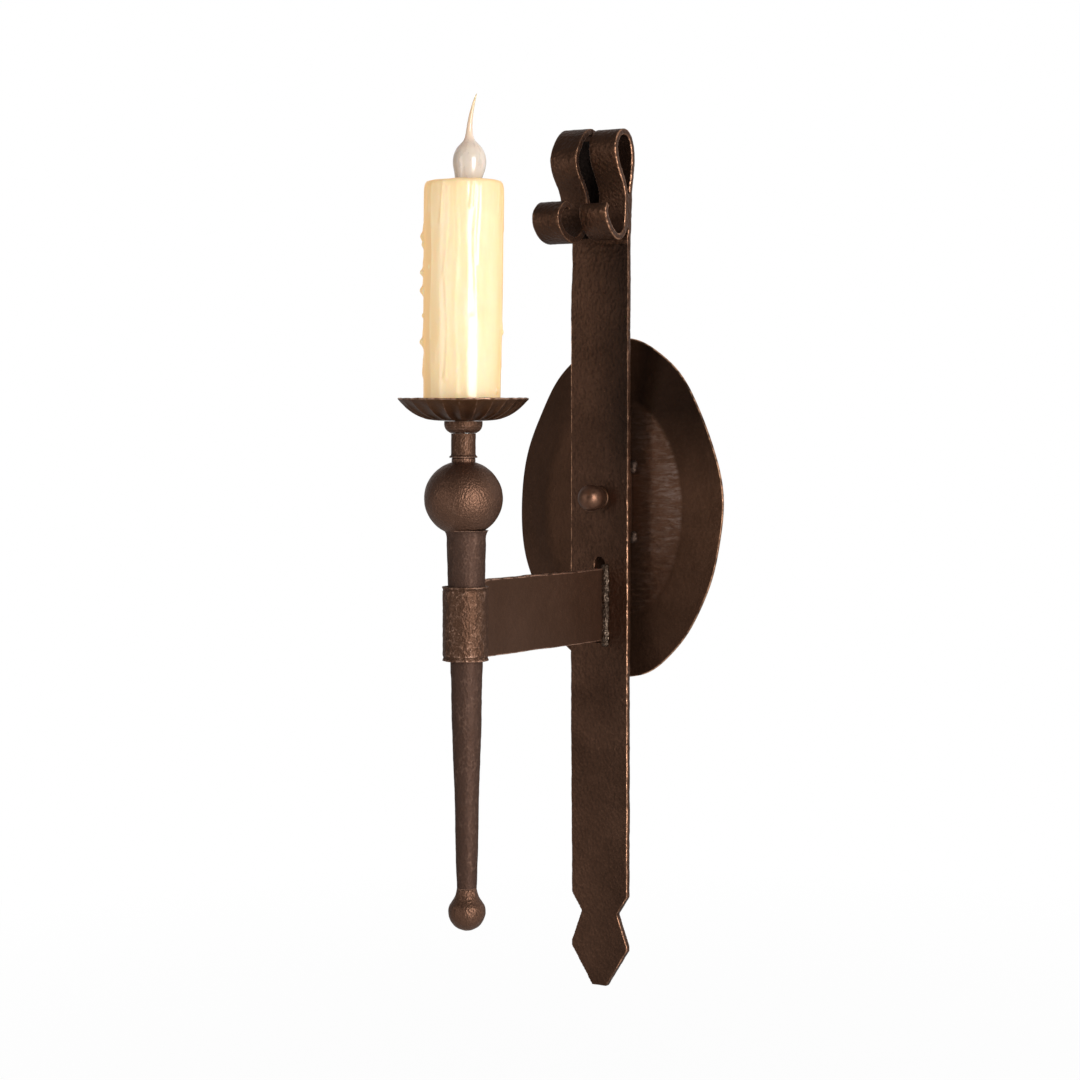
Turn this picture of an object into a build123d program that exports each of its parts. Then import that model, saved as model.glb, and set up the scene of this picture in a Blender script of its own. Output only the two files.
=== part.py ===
from build123d import *
import math
import os

# Electric candle wall sconce in forged iron: a strap on an oval pan, an arm holding
# a tapered torch, and on the torch a drip dish, a candle cover and a flame lamp.
# Millimetres.  +Z is up, -Y points into the room, +X is right as seen from the room.
# The origin is on the hanging stud's axis where it meets the wall.

os.makedirs("parts", exist_ok=True)

# --- shared dimensions -----------------------------------------------------------

# clearances
GAP = 0.02    # between stacked or butted parts
SLIP = 0.03   # between close-fitting surfaces
PLAY = 0.05   # around the nipple, tenons and rivet

# back strap
STRAP_W = 31.75
STRAP_T = 3.2
STRAP_FRONT = -20.0
STRAP_BACK = STRAP_FRONT + STRAP_T

# oval pan
PAN_FRONT = -7.7
SHEET = 1.5
GROMMET_HOLE_R = 5.0

# torch: a vertical axis standing in front of the strap
TORCH_Y = -133.6
TORCH_XY = (0, TORCH_Y)
TORCH_AXIS = Axis((0, TORCH_Y, 0), (0, 0, 1))
SHAFT_TOP_R, SHAFT_TOP_Z = 9.0, -11.3
SHAFT_TIP_R, SHAFT_TIP_Z = 4.5, -171.2
BALL_R, BALL_RV, BALL_Z = 17.5, 16.8, 2.5  # radius, vertical radius, centre height
NIPPLE_R = 4.3
NIPPLE_HOLE_R = NIPPLE_R + PLAY

# arm
ARM_TOP, ARM_BOTTOM = -34.5, -69.5
BAND_T, BAND_GAP = 1.7, 1.6
ARM_HALF_W = BAND_GAP / 2 + BAND_T

# hanging stud and wiring
STUD_R = 2.08
WIRE_HOLE_Z = -50.0
LEAD_Y = 5.2  # each lead's distance from the torch's axis at the socket


# --- helpers ---------------------------------------------------------------------


def save(solid, name):
    solid.label = name
    export_step(solid, "parts/" + name + ".step")


def torch_point(radius, z):
    """Point of the YZ plane at a radius from the torch's axis."""
    return (TORCH_Y + radius, z)


def torch_points(profile):
    return [torch_point(radius, z) for radius, z in profile]


def turned(name, profile):
    """Save a piece revolved about the torch's axis from a closed (radius, z) profile."""
    with BuildPart() as piece:
        with BuildSketch(Plane.YZ):
            with BuildLine():
                Polyline(*torch_points(profile), close=True)
            make_face()
        revolve(axis=TORCH_AXIS)
    save(piece.part, name)


def ball_half(margin):
    """Half outline of the torch's ball, bottom pole to top pole, grown by a margin."""
    angles = [math.radians(degrees) for degrees in range(-90, 91, 15)]
    return [
        torch_point(
            (BALL_R + margin) * math.cos(angle),
            BALL_Z + (BALL_RV + margin) * math.sin(angle),
        )
        for angle in angles
    ]


def ball_poles(margin):
    """Top and bottom poles of the ball grown by a margin."""
    return [torch_point(0, BALL_Z + side * (BALL_RV + margin)) for side in (1, -1)]


def shaft_radius(z):
    taper = (SHAFT_TOP_R - SHAFT_TIP_R) / (SHAFT_TOP_Z - SHAFT_TIP_Z)
    return SHAFT_TIP_R + taper * (z - SHAFT_TIP_Z)


# --- back strap: one forging, its top split into two scrolls -----------------------

SPLIT_Z = 125.0
KERF = 2.0
SCROLL_T = 3.0
NECK_FILLET = 2.0
STRAP_STUD_HOLE_R = 2.3
ARM_SLOT_W, ARM_SLOT_H, ARM_SLOT_TOP = 5.3, 38.6, -31.3

# right half of the flat outline, top to bottom: (x, z)
STRAP_HALF = [
    (STRAP_W / 2, SPLIT_Z),
    (STRAP_W / 2, -192.3),
    (10.1, -200.9),  # neck
    (STRAP_W / 2, -217.3),
    (4.0, -236.6),  # tip
]

# scroll centre lines: (y from the strap's front face, z)
SCROLL_START = [(1.6, 112.0), (1.7, 120.0), (2.3, 130.0), (2.8, 138.0), (3.1, 146.0)]
RIGHT_SCROLL = SCROLL_START + [
    (4.1, 152.0), (5.1, 158.5), (5.0, 164.6), (3.4, 169.8), (0.2, 173.0), (-3.6, 173.4),
    (-7.2, 171.6), (-9.6, 168.0), (-9.9, 163.6), (-8.4, 158.8), (-5.6, 153.8), (-2.6, 149.2),
    (-0.9, 144.6), (-0.5, 139.5), (-0.75, 134.0), (-1.9, 128.2), (-5.0, 124.4), (-9.2, 123.9),
    (-13.2, 126.0), (-16.6, 129.4), (-18.7, 133.0), (-18.8, 136.0), (-17.4, 138.4),
]
LEFT_SCROLL = SCROLL_START + [
    (3.8, 152.0), (4.4, 158.5), (3.8, 164.8), (1.5, 170.2), (-2.4, 173.6), (-7.0, 173.9),
    (-11.8, 171.2), (-15.4, 166.8), (-17.8, 162.4), (-18.1, 158.4), (-16.4, 154.0),
    (-13.1, 149.6), (-9.9, 145.2), (-8.0, 140.6), (-7.8, 135.6), (-9.4, 129.6),
    (-13.3, 124.6), (-18.9, 122.0), (-24.9, 122.4), (-30.2, 125.2), (-33.4, 129.2),
    (-33.7, 132.9), (-31.8, 135.9), (-29.5, 137.7), (-27.2, 138.4), (-25.2, 137.9),
    (-24.0, 136.6),
]
# centre line, direction (y, z) at its free end, left and right x
SCROLLS = (
    (LEFT_SCROLL, (0.55, -0.84), -STRAP_W / 2, -KERF / 2),
    (RIGHT_SCROLL, (0.85, 0.53), KERF / 2, STRAP_W / 2),
)

with BuildPart() as back_strap:
    with BuildSketch(Plane.XZ.offset(-STRAP_BACK)) as outline:
        with BuildLine():
            Polyline(*[(-x, z) for x, z in STRAP_HALF], *reversed(STRAP_HALF), close=True)
        make_face()
        # the third level up is the neck
        fillet(outline.vertices().group_by(Axis.Y)[2], NECK_FILLET)
    extrude(amount=STRAP_T)
    for run, end_direction, x_left, x_right in SCROLLS:
        with BuildSketch(Plane.YZ.offset(x_left)):
            with BuildLine() as centre_line:
                Spline(
                    *[(STRAP_FRONT + y, z) for y, z in run],
                    tangents=[(0, 1), end_direction],
                )
            trace(centre_line.line, SCROLL_T)
        extrude(amount=x_right - x_left)
    # stud hole and the long, round-topped slot the arm's two leaves pass through
    with BuildSketch(Plane.XZ.offset(-STRAP_BACK - 1)):
        Circle(STRAP_STUD_HOLE_R)
        with Locations((0, ARM_SLOT_TOP - ARM_SLOT_H / 2)):
            RectangleRounded(ARM_SLOT_W, ARM_SLOT_H, 0.3)
        with Locations((0, ARM_SLOT_TOP)):
            Circle(ARM_SLOT_W / 2)
    extrude(amount=STRAP_T + 2, mode=Mode.SUBTRACT)
save(back_strap.part, "back_strap")

# --- oval backplate pan: short rim, sloping side, flat front -----------------------

OVAL_RX, OVAL_RZ, OVAL_Z = 57.15, 82.55, -5.65
FLAT_RX, FLAT_RZ = 38.0, 54.6
PAN_RIM_DEPTH = 1.3
RIM_INSET, FLAT_INSET = 1.6, 2.0  # of the hollow's ellipses from the outer ones
PAN_STUD_HOLE_R = 2.6

# mode, then two ellipses to loft between: (distance from the wall, x radius, z radius)
PAN_LOFTS = (
    (Mode.ADD, (0, OVAL_RX, OVAL_RZ), (PAN_RIM_DEPTH, OVAL_RX, OVAL_RZ)),
    (Mode.ADD, (PAN_RIM_DEPTH, OVAL_RX, OVAL_RZ), (-PAN_FRONT, FLAT_RX, FLAT_RZ)),
    (
        Mode.SUBTRACT,
        (0, OVAL_RX - RIM_INSET, OVAL_RZ - RIM_INSET),
        (-PAN_FRONT - SHEET, FLAT_RX - FLAT_INSET, FLAT_RZ - FLAT_INSET),
    ),
)

with BuildPart() as backplate:
    for loft_mode, *ellipses in PAN_LOFTS:
        for distance, radius_x, radius_z in ellipses:
            with BuildSketch(Plane.XZ.offset(distance)):
                with Locations((0, OVAL_Z)):
                    Ellipse(radius_x, radius_z)
        loft(ruled=True, mode=loft_mode)
    # stud hole and wire grommet hole
    with BuildSketch(Plane.XZ):
        Circle(PAN_STUD_HOLE_R)
        with Locations((0, WIRE_HOLE_Z)):
            Circle(GROMMET_HOLE_R)
    extrude(amount=20, mode=Mode.SUBTRACT)
save(backplate.part, "backplate")

# --- standoff tube between strap and pan -------------------------------------------

STANDOFF_W, STANDOFF_H, STANDOFF_Z = 23.0, 34.0, -1.8
STANDOFF_DEPTH = PAN_FRONT - STRAP_BACK
STANDOFF_WALL = 2.0
STANDOFF_STUD_HOLE_R = 2.4

with BuildPart() as standoff:
    with BuildSketch(Plane.XY.offset(STANDOFF_Z - STANDOFF_H / 2)):
        with Locations((0, (STRAP_BACK + PAN_FRONT) / 2)):
            RectangleRounded(STANDOFF_W, STANDOFF_DEPTH, 1.5)
            RectangleRounded(
                STANDOFF_W - 2 * STANDOFF_WALL,
                STANDOFF_DEPTH - 2 * STANDOFF_WALL,
                0.6,
                mode=Mode.SUBTRACT,
            )
    extrude(amount=STANDOFF_H)
    with BuildSketch(Plane.XZ):
        Circle(STANDOFF_STUD_HOLE_R)
    extrude(amount=25, mode=Mode.SUBTRACT)
save(standoff.part, "standoff_tube")

# --- four stepped tack welds where the standoff meets the pan ----------------------

TACK_X = STANDOFF_W / 2 + 0.4
TACK_ZS = (14.6, -19.2)
TACK_BASE_H = 1.1
# y of the back face, height, radius
TACK_STEPS = (
    (PAN_FRONT - GAP, TACK_BASE_H, 2.7),
    (PAN_FRONT - GAP - TACK_BASE_H, 0.9, 1.9),
)

with BuildPart() as tacks:
    for y, height, radius in TACK_STEPS:
        with BuildSketch(Plane.XZ.offset(-y)):
            with Locations(*[(side * TACK_X, z) for side in (-1, 1) for z in TACK_ZS]):
                Circle(radius)
            # keep clear of the tube
            Rectangle(STANDOFF_W + 2 * GAP, 80, mode=Mode.SUBTRACT)
        extrude(amount=height)
save(tacks.part, "standoff_tack_welds")

# --- arm: one strip folded round the torch, both leaves run back to the strap ------

COLLAR_R = 10.2
COLLAR_FILLET = 5.0
ARM_END = STRAP_BACK + 0.7
ARM_LENGTH = ARM_END - TORCH_Y
ARM_MID_Y = (TORCH_Y + ARM_END) / 2

with BuildPart() as arm_band:
    with BuildSketch(Plane.XY.offset(ARM_BOTTOM)) as arm_outer:
        with Locations(TORCH_XY):
            Circle(COLLAR_R)
        with Locations((0, ARM_MID_Y)):
            Rectangle(2 * ARM_HALF_W, ARM_LENGTH)
        # blend the collar into the leaves
        fillet(
            arm_outer.vertices().filter_by_position(Axis.Y, TORCH_Y, TORCH_Y + 12),
            COLLAR_FILLET,
        )
    extrude(amount=ARM_TOP - ARM_BOTTOM)
    # gap between the leaves, cut 2 mm past their ends
    with BuildSketch(Plane.XY.offset(ARM_BOTTOM)):
        with Locations((0, ARM_MID_Y + 1)):
            Rectangle(BAND_GAP, ARM_LENGTH + 2)
    extrude(amount=ARM_TOP - ARM_BOTTOM, mode=Mode.SUBTRACT)
    # the collar's bore follows the shaft's taper
    with BuildSketch(Plane.YZ):
        with BuildLine():
            Polyline(
                torch_point(0, ARM_BOTTOM - 1),
                torch_point(shaft_radius(ARM_BOTTOM - 1) + SLIP, ARM_BOTTOM - 1),
                torch_point(shaft_radius(ARM_TOP + 1) + SLIP, ARM_TOP + 1),
                torch_point(0, ARM_TOP + 1),
                close=True,
            )
        make_face()
    revolve(axis=TORCH_AXIS, mode=Mode.SUBTRACT)
save(arm_band.part, "arm_band")

# --- weld beads down both sides of the arm on the strap's front face ---------------

# section: (distance out from the arm's side, distance forward of the strap)
BEAD_SECTION = [(0, GAP), (2.6, GAP), (2.2, 1.5), (1.2, 2.4), (0, 2.7)]

with BuildPart() as arm_weld:
    for side in (-1, 1):
        with BuildSketch(Plane.XY.offset(ARM_BOTTOM - 1.2)):
            with BuildLine():
                Polyline(
                    *[
                        (side * (ARM_HALF_W + GAP + out), STRAP_FRONT - forward)
                        for out, forward in BEAD_SECTION
                    ],
                    close=True,
                )
            make_face()
        extrude(amount=ARM_TOP - ARM_BOTTOM + 2.0)
save(arm_weld.part, "arm_weld_beads")

# --- torch shaft: tapered, bored from the top, with a tenon at the tip -------------

TIP_TENON_R, TIP_TENON_L = 2.45, 5.0
SHAFT_RIM_Z = -8.5
CHANNEL_R = 3.4  # wire channel below the nipple
SHAFT_PROFILE = [
    (0, SHAFT_TIP_Z - TIP_TENON_L),
    (TIP_TENON_R, SHAFT_TIP_Z - TIP_TENON_L),
    (TIP_TENON_R, SHAFT_TIP_Z),
    (SHAFT_TIP_R, SHAFT_TIP_Z),
    (SHAFT_TOP_R, SHAFT_TOP_Z),
    (SHAFT_TOP_R, SHAFT_RIM_Z),
    (NIPPLE_HOLE_R, SHAFT_RIM_Z),
    (NIPPLE_HOLE_R, -32.0),
    (CHANNEL_R, -33.0),
    (CHANNEL_R, -60.0),
    (0, -62.5),
]

with BuildPart() as torch_shaft:
    with BuildSketch(Plane.YZ):
        with BuildLine():
            Polyline(*torch_points(SHAFT_PROFILE), close=True)
        make_face()
    revolve(axis=TORCH_AXIS)
    # seat for the ball
    with BuildSketch(Plane.YZ):
        with BuildLine():
            Spline(*ball_half(SLIP), tangents=[(1, 0), (-1, 0)])
            Line(*ball_poles(SLIP))
        make_face()
    revolve(axis=TORCH_AXIS, mode=Mode.SUBTRACT)
    # wire hole in the wall side, facing the gap between the arm's leaves
    with BuildSketch(Plane.XZ.offset(-TORCH_Y)):
        with Locations((0, WIRE_HOLE_Z)):
            SlotOverall(9.0, 3.0, rotation=90)
    extrude(amount=-12, mode=Mode.SUBTRACT)
save(torch_shaft.part, "torch_shaft")

# --- hollow ball with a short tenon on top -----------------------------------------

BALL_WALL = 1.6
TENON_R, TENON_TOP = 4.95, 24.0

with BuildPart() as torch_ball:
    with BuildSketch(Plane.YZ):
        with BuildLine():
            Spline(*ball_half(0), tangents=[(1, 0), (-1, 0)])
            Line(*ball_poles(0))
        make_face()
    revolve(axis=TORCH_AXIS)
    with BuildSketch(Plane.XY.offset(BALL_Z)):
        with Locations(TORCH_XY):
            Circle(TENON_R)
    extrude(amount=TENON_TOP - BALL_Z)
    # hollow
    with BuildSketch(Plane.YZ):
        with BuildLine():
            Spline(*ball_half(-BALL_WALL), tangents=[(1, 0), (-1, 0)])
            Line(*ball_poles(-BALL_WALL))
        make_face()
    revolve(axis=TORCH_AXIS, mode=Mode.SUBTRACT)
    # nipple hole, right through
    with BuildSketch(Plane.XY.offset(-30)):
        with Locations(TORCH_XY):
            Circle(NIPPLE_HOLE_R)
    extrude(amount=60, mode=Mode.SUBTRACT)
save(torch_ball.part, "torch_ball")

# --- ball finial with a flared neck, bored for the shaft's tenon -------------------

FINIAL_R, FINIAL_Z = 8.4, -181.6
FLARE_Z = -178.2
FLARE_R = math.sqrt(FINIAL_R**2 - (FLARE_Z - FINIAL_Z) ** 2)  # the ball's radius there
FLARE_PROFILE = [
    (0, FLARE_Z),
    (0, SHAFT_TIP_Z - SLIP),
    (SHAFT_TIP_R, SHAFT_TIP_Z - SLIP),
    (4.75, -173.0),
    (5.3, -174.6),
    (6.2, -176.2),
    (FLARE_R, FLARE_Z),
]

with BuildPart() as finial_ball:
    with Locations((0, TORCH_Y, FINIAL_Z)):
        Sphere(FINIAL_R)
    # cut the ball's top off where the neck starts
    with BuildSketch(Plane.XY.offset(FLARE_Z)):
        with Locations(TORCH_XY):
            Circle(20)
    extrude(amount=20, mode=Mode.SUBTRACT)
    with BuildSketch(Plane.YZ):
        with BuildLine():
            Polyline(*torch_points(FLARE_PROFILE), close=True)
        make_face()
    revolve(axis=TORCH_AXIS)
    with BuildSketch(Plane.XY.offset(SHAFT_TIP_Z - TIP_TENON_L - 0.4)):
        with Locations(TORCH_XY):
            Circle(TIP_TENON_R + PLAY)
    extrude(amount=20, mode=Mode.SUBTRACT)
save(finial_ball.part, "finial_ball")

# --- nipple: plain tube from the shaft up through the dish -------------------------

NIPPLE_BORE_R = 2.9
NIPPLE_BOTTOM, NIPPLE_TOP = -31.5, 45.5

with BuildPart() as threaded_nipple:
    with BuildSketch(Plane.XY.offset(NIPPLE_BOTTOM)):
        with Locations(TORCH_XY):
            Circle(NIPPLE_R)
            Circle(NIPPLE_BORE_R, mode=Mode.SUBTRACT)
    extrude(amount=NIPPLE_TOP - NIPPLE_BOTTOM)
save(threaded_nipple.part, "threaded_nipple")

# --- ferrule over the ball's tenon, thicker at its lower edge ----------------------

FERRULE_BOTTOM, FERRULE_TOP = 20.4, 31.3
FERRULE_R, FERRULE_EDGE_R = 5.8, 6.35

turned("neck_ferrule", [
    (TENON_R + PLAY, FERRULE_BOTTOM),
    (FERRULE_EDGE_R, FERRULE_BOTTOM),
    (FERRULE_EDGE_R, FERRULE_BOTTOM + 0.7),
    (FERRULE_R, FERRULE_BOTTOM + 1.7),
    (FERRULE_R, FERRULE_TOP),
    (NIPPLE_HOLE_R, FERRULE_TOP),
    (NIPPLE_HOLE_R, TENON_TOP + GAP),
    (TENON_R + PLAY, TENON_TOP + GAP),
])

# --- cup between ferrule and dish --------------------------------------------------

DISH_Z = 36.7
CUP_TOP = DISH_Z - 0.05

turned("candle_cup", [
    (NIPPLE_HOLE_R, FERRULE_TOP + GAP),
    (6.0, FERRULE_TOP + GAP),
    (7.4, 32.4),
    (8.4, 33.7),
    (8.7, 34.6),
    (8.3, CUP_TOP),
    (7.2, CUP_TOP),
    (7.4, 34.8),
    (6.6, 33.4),
    (NIPPLE_HOLE_R, 32.6),
])

# --- drip dish: a shallow bowl of thin sheet ---------------------------------------

DISH_T, DISH_EDGE_T = 0.9, 0.35  # vertical thickness of the sheet, and at the rim
DISH_FLAT_R = 9.0
DISH_HOLE_R = NIPPLE_R + 0.1
RIM_R, RIM_Z = 29.0, 46.2
# underside from the flat's edge to the rim: (radius, z)
DISH_UNDER = [
    (DISH_FLAT_R, DISH_Z), (11.8, 36.85), (15.6, 37.6), (19.0, 38.75),
    (22.0, 40.2), (25.0, 42.3), (27.4, 44.5), (RIM_R, RIM_Z),
]


def dish_upper(radius, z):
    """Upper-side point matching a point of the underside, stepped inwards on the slope."""
    if radius <= DISH_FLAT_R:
        inset = 0.0
    elif radius < 20:
        inset = 0.3
    else:
        inset = 0.7
    return (radius - inset, z + (DISH_T if radius < RIM_R else DISH_EDGE_T))


dish_upper_run = [dish_upper(radius, z) for radius, z in reversed(DISH_UNDER)]

with BuildPart() as drip_dish:
    with BuildSketch(Plane.YZ):
        with BuildLine():
            Line(torch_point(DISH_HOLE_R, DISH_Z), torch_point(DISH_FLAT_R, DISH_Z))
            Spline(*torch_points(DISH_UNDER))
            Line(torch_point(RIM_R, RIM_Z), torch_point(*dish_upper_run[0]))
            Spline(*torch_points(dish_upper_run))
            Line(
                torch_point(DISH_FLAT_R, DISH_Z + DISH_T),
                torch_point(DISH_HOLE_R, DISH_Z + DISH_T),
            )
            Line(torch_point(DISH_HOLE_R, DISH_Z + DISH_T), torch_point(DISH_HOLE_R, DISH_Z))
        make_face()
    revolve(axis=TORCH_AXIS)
save(drip_dish.part, "drip_dish")

# --- nut that clamps the dish ------------------------------------------------------

NUT_Z = DISH_Z + DISH_T + GAP
NUT_H = 2.6

with BuildPart() as dish_nut:
    with BuildSketch(Plane.XY.offset(NUT_Z)):
        with Locations(TORCH_XY):
            RegularPolygon(7.0, 6, major_radius=False)
            Circle(NIPPLE_HOLE_R, mode=Mode.SUBTRACT)
    extrude(amount=NUT_H)
    chamfer(dish_nut.faces().sort_by(Axis.Z)[-1].outer_wire().edges(), 0.4)
save(dish_nut.part, "dish_nut")

# --- socket bracket: foot on the nut, two legs, crown under the socket -------------

BRACKET_Z = NUT_Z + NUT_H + GAP
BRACKET_TOP = 106.0
BRACKET_T = 1.2
LEG_X, LEG_DEPTH = 6.9, 7.0
FOOT_DEPTH, FOOT_T = 10.0, 1.6
RIVET_R = 1.5
RIVET_HOLE_R = RIVET_R + PLAY

with BuildPart() as socket_bracket:
    # foot, between the legs
    with BuildSketch(Plane.XY.offset(BRACKET_Z)):
        with Locations(TORCH_XY):
            Rectangle(2 * LEG_X - BRACKET_T, FOOT_DEPTH)
            Circle(NIPPLE_HOLE_R, mode=Mode.SUBTRACT)
    extrude(amount=FOOT_T)
    # two legs
    for side in (-1, 1):
        with BuildSketch(Plane.XY.offset(BRACKET_Z)):
            with Locations((side * LEG_X, TORCH_Y)):
                Rectangle(BRACKET_T, LEG_DEPTH)
        extrude(amount=BRACKET_TOP - BRACKET_Z)
    # crown the socket rivets to
    with BuildSketch(Plane.XY.offset(BRACKET_TOP - BRACKET_T)):
        with Locations(TORCH_XY):
            Rectangle(2 * LEG_X + BRACKET_T, LEG_DEPTH)
    extrude(amount=BRACKET_T)
    with BuildSketch(Plane.XY.offset(BRACKET_TOP - 3)):
        with Locations(TORCH_XY):
            Circle(RIVET_HOLE_R)
    extrude(amount=6, mode=Mode.SUBTRACT)
save(socket_bracket.part, "socket_bracket")

# --- candelabra lamp socket --------------------------------------------------------

SOCKET_BOTTOM, SOCKET_TOP = BRACKET_TOP + GAP, 133.0
SOCKET_R, SOCKET_LIP_R, SOCKET_BORE_R = 9.4, 9.9, 7.25
SOCKET_FLOOR = 110.5
LEAD_HOLE_R = 0.95
SOCKET_PROFILE = [
    (RIVET_HOLE_R, SOCKET_BOTTOM),
    (8.2, SOCKET_BOTTOM),
    (SOCKET_R, SOCKET_BOTTOM + 1.2),
    (SOCKET_R, 124.0),
    (SOCKET_LIP_R, 124.6),
    (SOCKET_LIP_R, SOCKET_TOP - 0.6),
    (SOCKET_R, SOCKET_TOP),
    (SOCKET_BORE_R, SOCKET_TOP),
    (SOCKET_BORE_R, SOCKET_FLOOR),
    (RIVET_HOLE_R, SOCKET_FLOOR),
]

with BuildPart() as socket_body:
    with BuildSketch(Plane.YZ):
        with BuildLine():
            Polyline(*torch_points(SOCKET_PROFILE), close=True)
        make_face()
    revolve(axis=TORCH_AXIS)
    # two holes for the leads
    with BuildSketch(Plane.XY.offset(SOCKET_BOTTOM - 1)):
        with Locations((0, TORCH_Y - LEAD_Y), (0, TORCH_Y + LEAD_Y)):
            Circle(LEAD_HOLE_R)
    extrude(amount=8, mode=Mode.SUBTRACT)
save(socket_body.part, "socket_body")

# --- screw shell: ridged cup lining the socket -------------------------------------

RIDGE_STEP = 1.27  # height from a ridge to the next groove
SHELL_R, SHELL_GROOVE_R, SHELL_RIDGE_R = 7.2, 6.75, 6.4
SHELL_BOTTOM, SHELL_FLOOR, SHELL_TOP = 111.2, 111.7, 132.6

turned("screw_shell", [
    (SHELL_R, SHELL_BOTTOM),
    (SHELL_R, SHELL_TOP),
    (6.85, SHELL_TOP),
    (SHELL_GROOVE_R, 131.9),
    *[
        (SHELL_RIDGE_R if i % 2 else SHELL_GROOVE_R, 131.0 - i * RIDGE_STEP)
        for i in range(13)
    ],
    (SHELL_GROOVE_R, 114.6),
    (SHELL_GROOVE_R, SHELL_FLOOR),
    (4.4, SHELL_FLOOR),
    (4.4, SHELL_BOTTOM),
])

# --- rivet through bracket and socket, head below the crown ------------------------

RIVET_HEAD_R = 2.6
RIVET_BOTTOM, RIVET_TOP = BRACKET_TOP - 2.4, 110.9
RIVET_SEAT_Z = BRACKET_TOP - BRACKET_T - GAP

turned("socket_rivet", [
    (0, RIVET_BOTTOM),
    (RIVET_HEAD_R, RIVET_BOTTOM),
    (RIVET_HEAD_R, RIVET_SEAT_Z),
    (RIVET_R, RIVET_SEAT_Z),
    (RIVET_R, RIVET_TOP),
    (0, RIVET_TOP),
])

# --- sprung centre contact: a bent tongue above the rivet --------------------------

TONGUE_T, TONGUE_HALF_W = 0.4, 1.6
# (y from the torch's axis, z)
TONGUE_RUN = [(-3.2, 111.2), (3.0, 111.2), (3.4, 111.8), (0.4, 113.55), (-2.0, 113.7)]

with BuildPart() as centre_contact:
    with BuildSketch(Plane.YZ):
        with BuildLine() as tongue:
            Polyline(*torch_points(TONGUE_RUN))
        trace(tongue.line, TONGUE_T)
    extrude(amount=TONGUE_HALF_W, both=True)
save(centre_contact.part, "centre_contact")

# --- lamp: base, insulator and tip contact -----------------------------------------

BASE_TOP = 130.5

turned("bulb_base", [
    (3.3, 117.6),
    (4.6, 117.6),
    (5.6, 118.6),
    *[(6.0 if i % 2 else 5.65, 119.4 + i * RIDGE_STEP) for i in range(8)],
    (5.9, 129.2),
    (5.9, BASE_TOP),
    (5.45, BASE_TOP),
    (5.45, 129.0),
    (5.2, 119.2),
    (3.3, 118.0),
])

turned("bulb_insulator", [
    (0.9, 115.4), (1.9, 115.4), (3.9, 117.58), (3.28, 117.58), (3.28, 118.8), (0.9, 118.8),
])

turned("bulb_tip_contact", [
    (0, 114.1), (1.0, 114.25), (1.5, 114.8), (1.5, 115.38),
    (0.88, 115.38), (0.88, 118.6), (0, 118.6),
])

# --- lamp glass: closed thin envelope, neck inside the base ------------------------

GLASS_T = 0.6
NECK_TOP = 131.0
# outside above the neck: (radius, z)
GLASS_CROWN = [
    (5.25, 138.0), (5.75, 144.0), (6.55, 147.6), (6.75, 150.4),
    (6.1, 153.6), (4.2, 156.3), (1.8, 157.4), (0.0, 157.6),
]
# the wall is taken off the radius, and off the height too near the top
GLASS_CROWN_INSIDE = [
    (max(0.0, radius - GLASS_T), z - (GLASS_T if radius < 5 else 0.0))
    for radius, z in GLASS_CROWN
]
# neck radius, bottom z, crown, mode
GLASS_SHELLS = (
    (5.15, 121.0, GLASS_CROWN, Mode.ADD),
    (4.5, 122.0, GLASS_CROWN_INSIDE, Mode.SUBTRACT),
)

with BuildPart() as bulb_glass:
    for neck_radius, bottom, crown, shell_mode in GLASS_SHELLS:
        with BuildSketch(Plane.YZ):
            with BuildLine():
                Line(torch_point(0, bottom), torch_point(neck_radius, bottom))
                Line(torch_point(neck_radius, bottom), torch_point(neck_radius, NECK_TOP))
                Spline(
                    *torch_points([(neck_radius, NECK_TOP)] + crown),
                    tangents=[(0, 1), (-1, 0)],
                )
                Line(torch_point(*crown[-1]), torch_point(0, bottom))
            make_face()
        revolve(axis=TORCH_AXIS, mode=shell_mode)
save(bulb_glass.part, "bulb_glass")

# --- filament and its stem ---------------------------------------------------------

turned("filament_stem", [
    (0, 122.03), (3.6, 122.03), (3.0, 124.0), (1.3, 128.0), (1.3, 140.0), (0.8, 141.2),
    (0, 141.2),
])

FILAMENT_R = 0.22
# (x, z)
FILAMENT_RUN = [
    (-2.6, 126.6), (-2.6, 140.0), (-3.0, 146.0), (0, 149.6),
    (3.0, 146.0), (2.6, 140.0), (2.6, 126.6),
]

with BuildPart() as filament:
    with BuildLine() as filament_path:
        Polyline(*[(x, TORCH_Y, z) for x, z in FILAMENT_RUN])
    start_x, start_z = FILAMENT_RUN[0]
    with BuildSketch(Plane.XY.offset(start_z)):
        with Locations((start_x, TORCH_Y)):
            Circle(FILAMENT_R)
    sweep(path=filament_path.line, transition=Transition.RIGHT)
save(filament.part, "filament")

# --- silicone coat over the glass, drawn out to a curved flame tip -----------------

# outside of the coat: (radius, z)
COAT = [
    (5.85, 140.0), (6.1, 143.4), (6.9, 146.6), (7.42, 150.2),
    (7.0, 153.5), (5.4, 156.6), (3.4, 158.6), (2.0, 160.6),
]
# round sections of the tip: (x, y from the torch's axis, z, radius)
FLAME_TIP = [
    (0, 0, 160.2, 2.0), (0.15, 0.0, 164.0, 1.35), (0.5, 0.1, 168.0, 1.15),
    (1.2, 0.3, 172.5, 0.9), (2.6, 0.7, 176.8, 0.55), (4.1, 1.1, 180.0, 0.15),
]
# inside of the coat, just clear of the glass: (radius, z)
COAT_INSIDE = [(5.42, 139.0), (5.85, 144.0)] + [
    (radius + (SLIP if radius > 0 else 0.0), z + (SLIP if radius < 3 else 0.0))
    for radius, z in GLASS_CROWN[2:]
]

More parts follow.
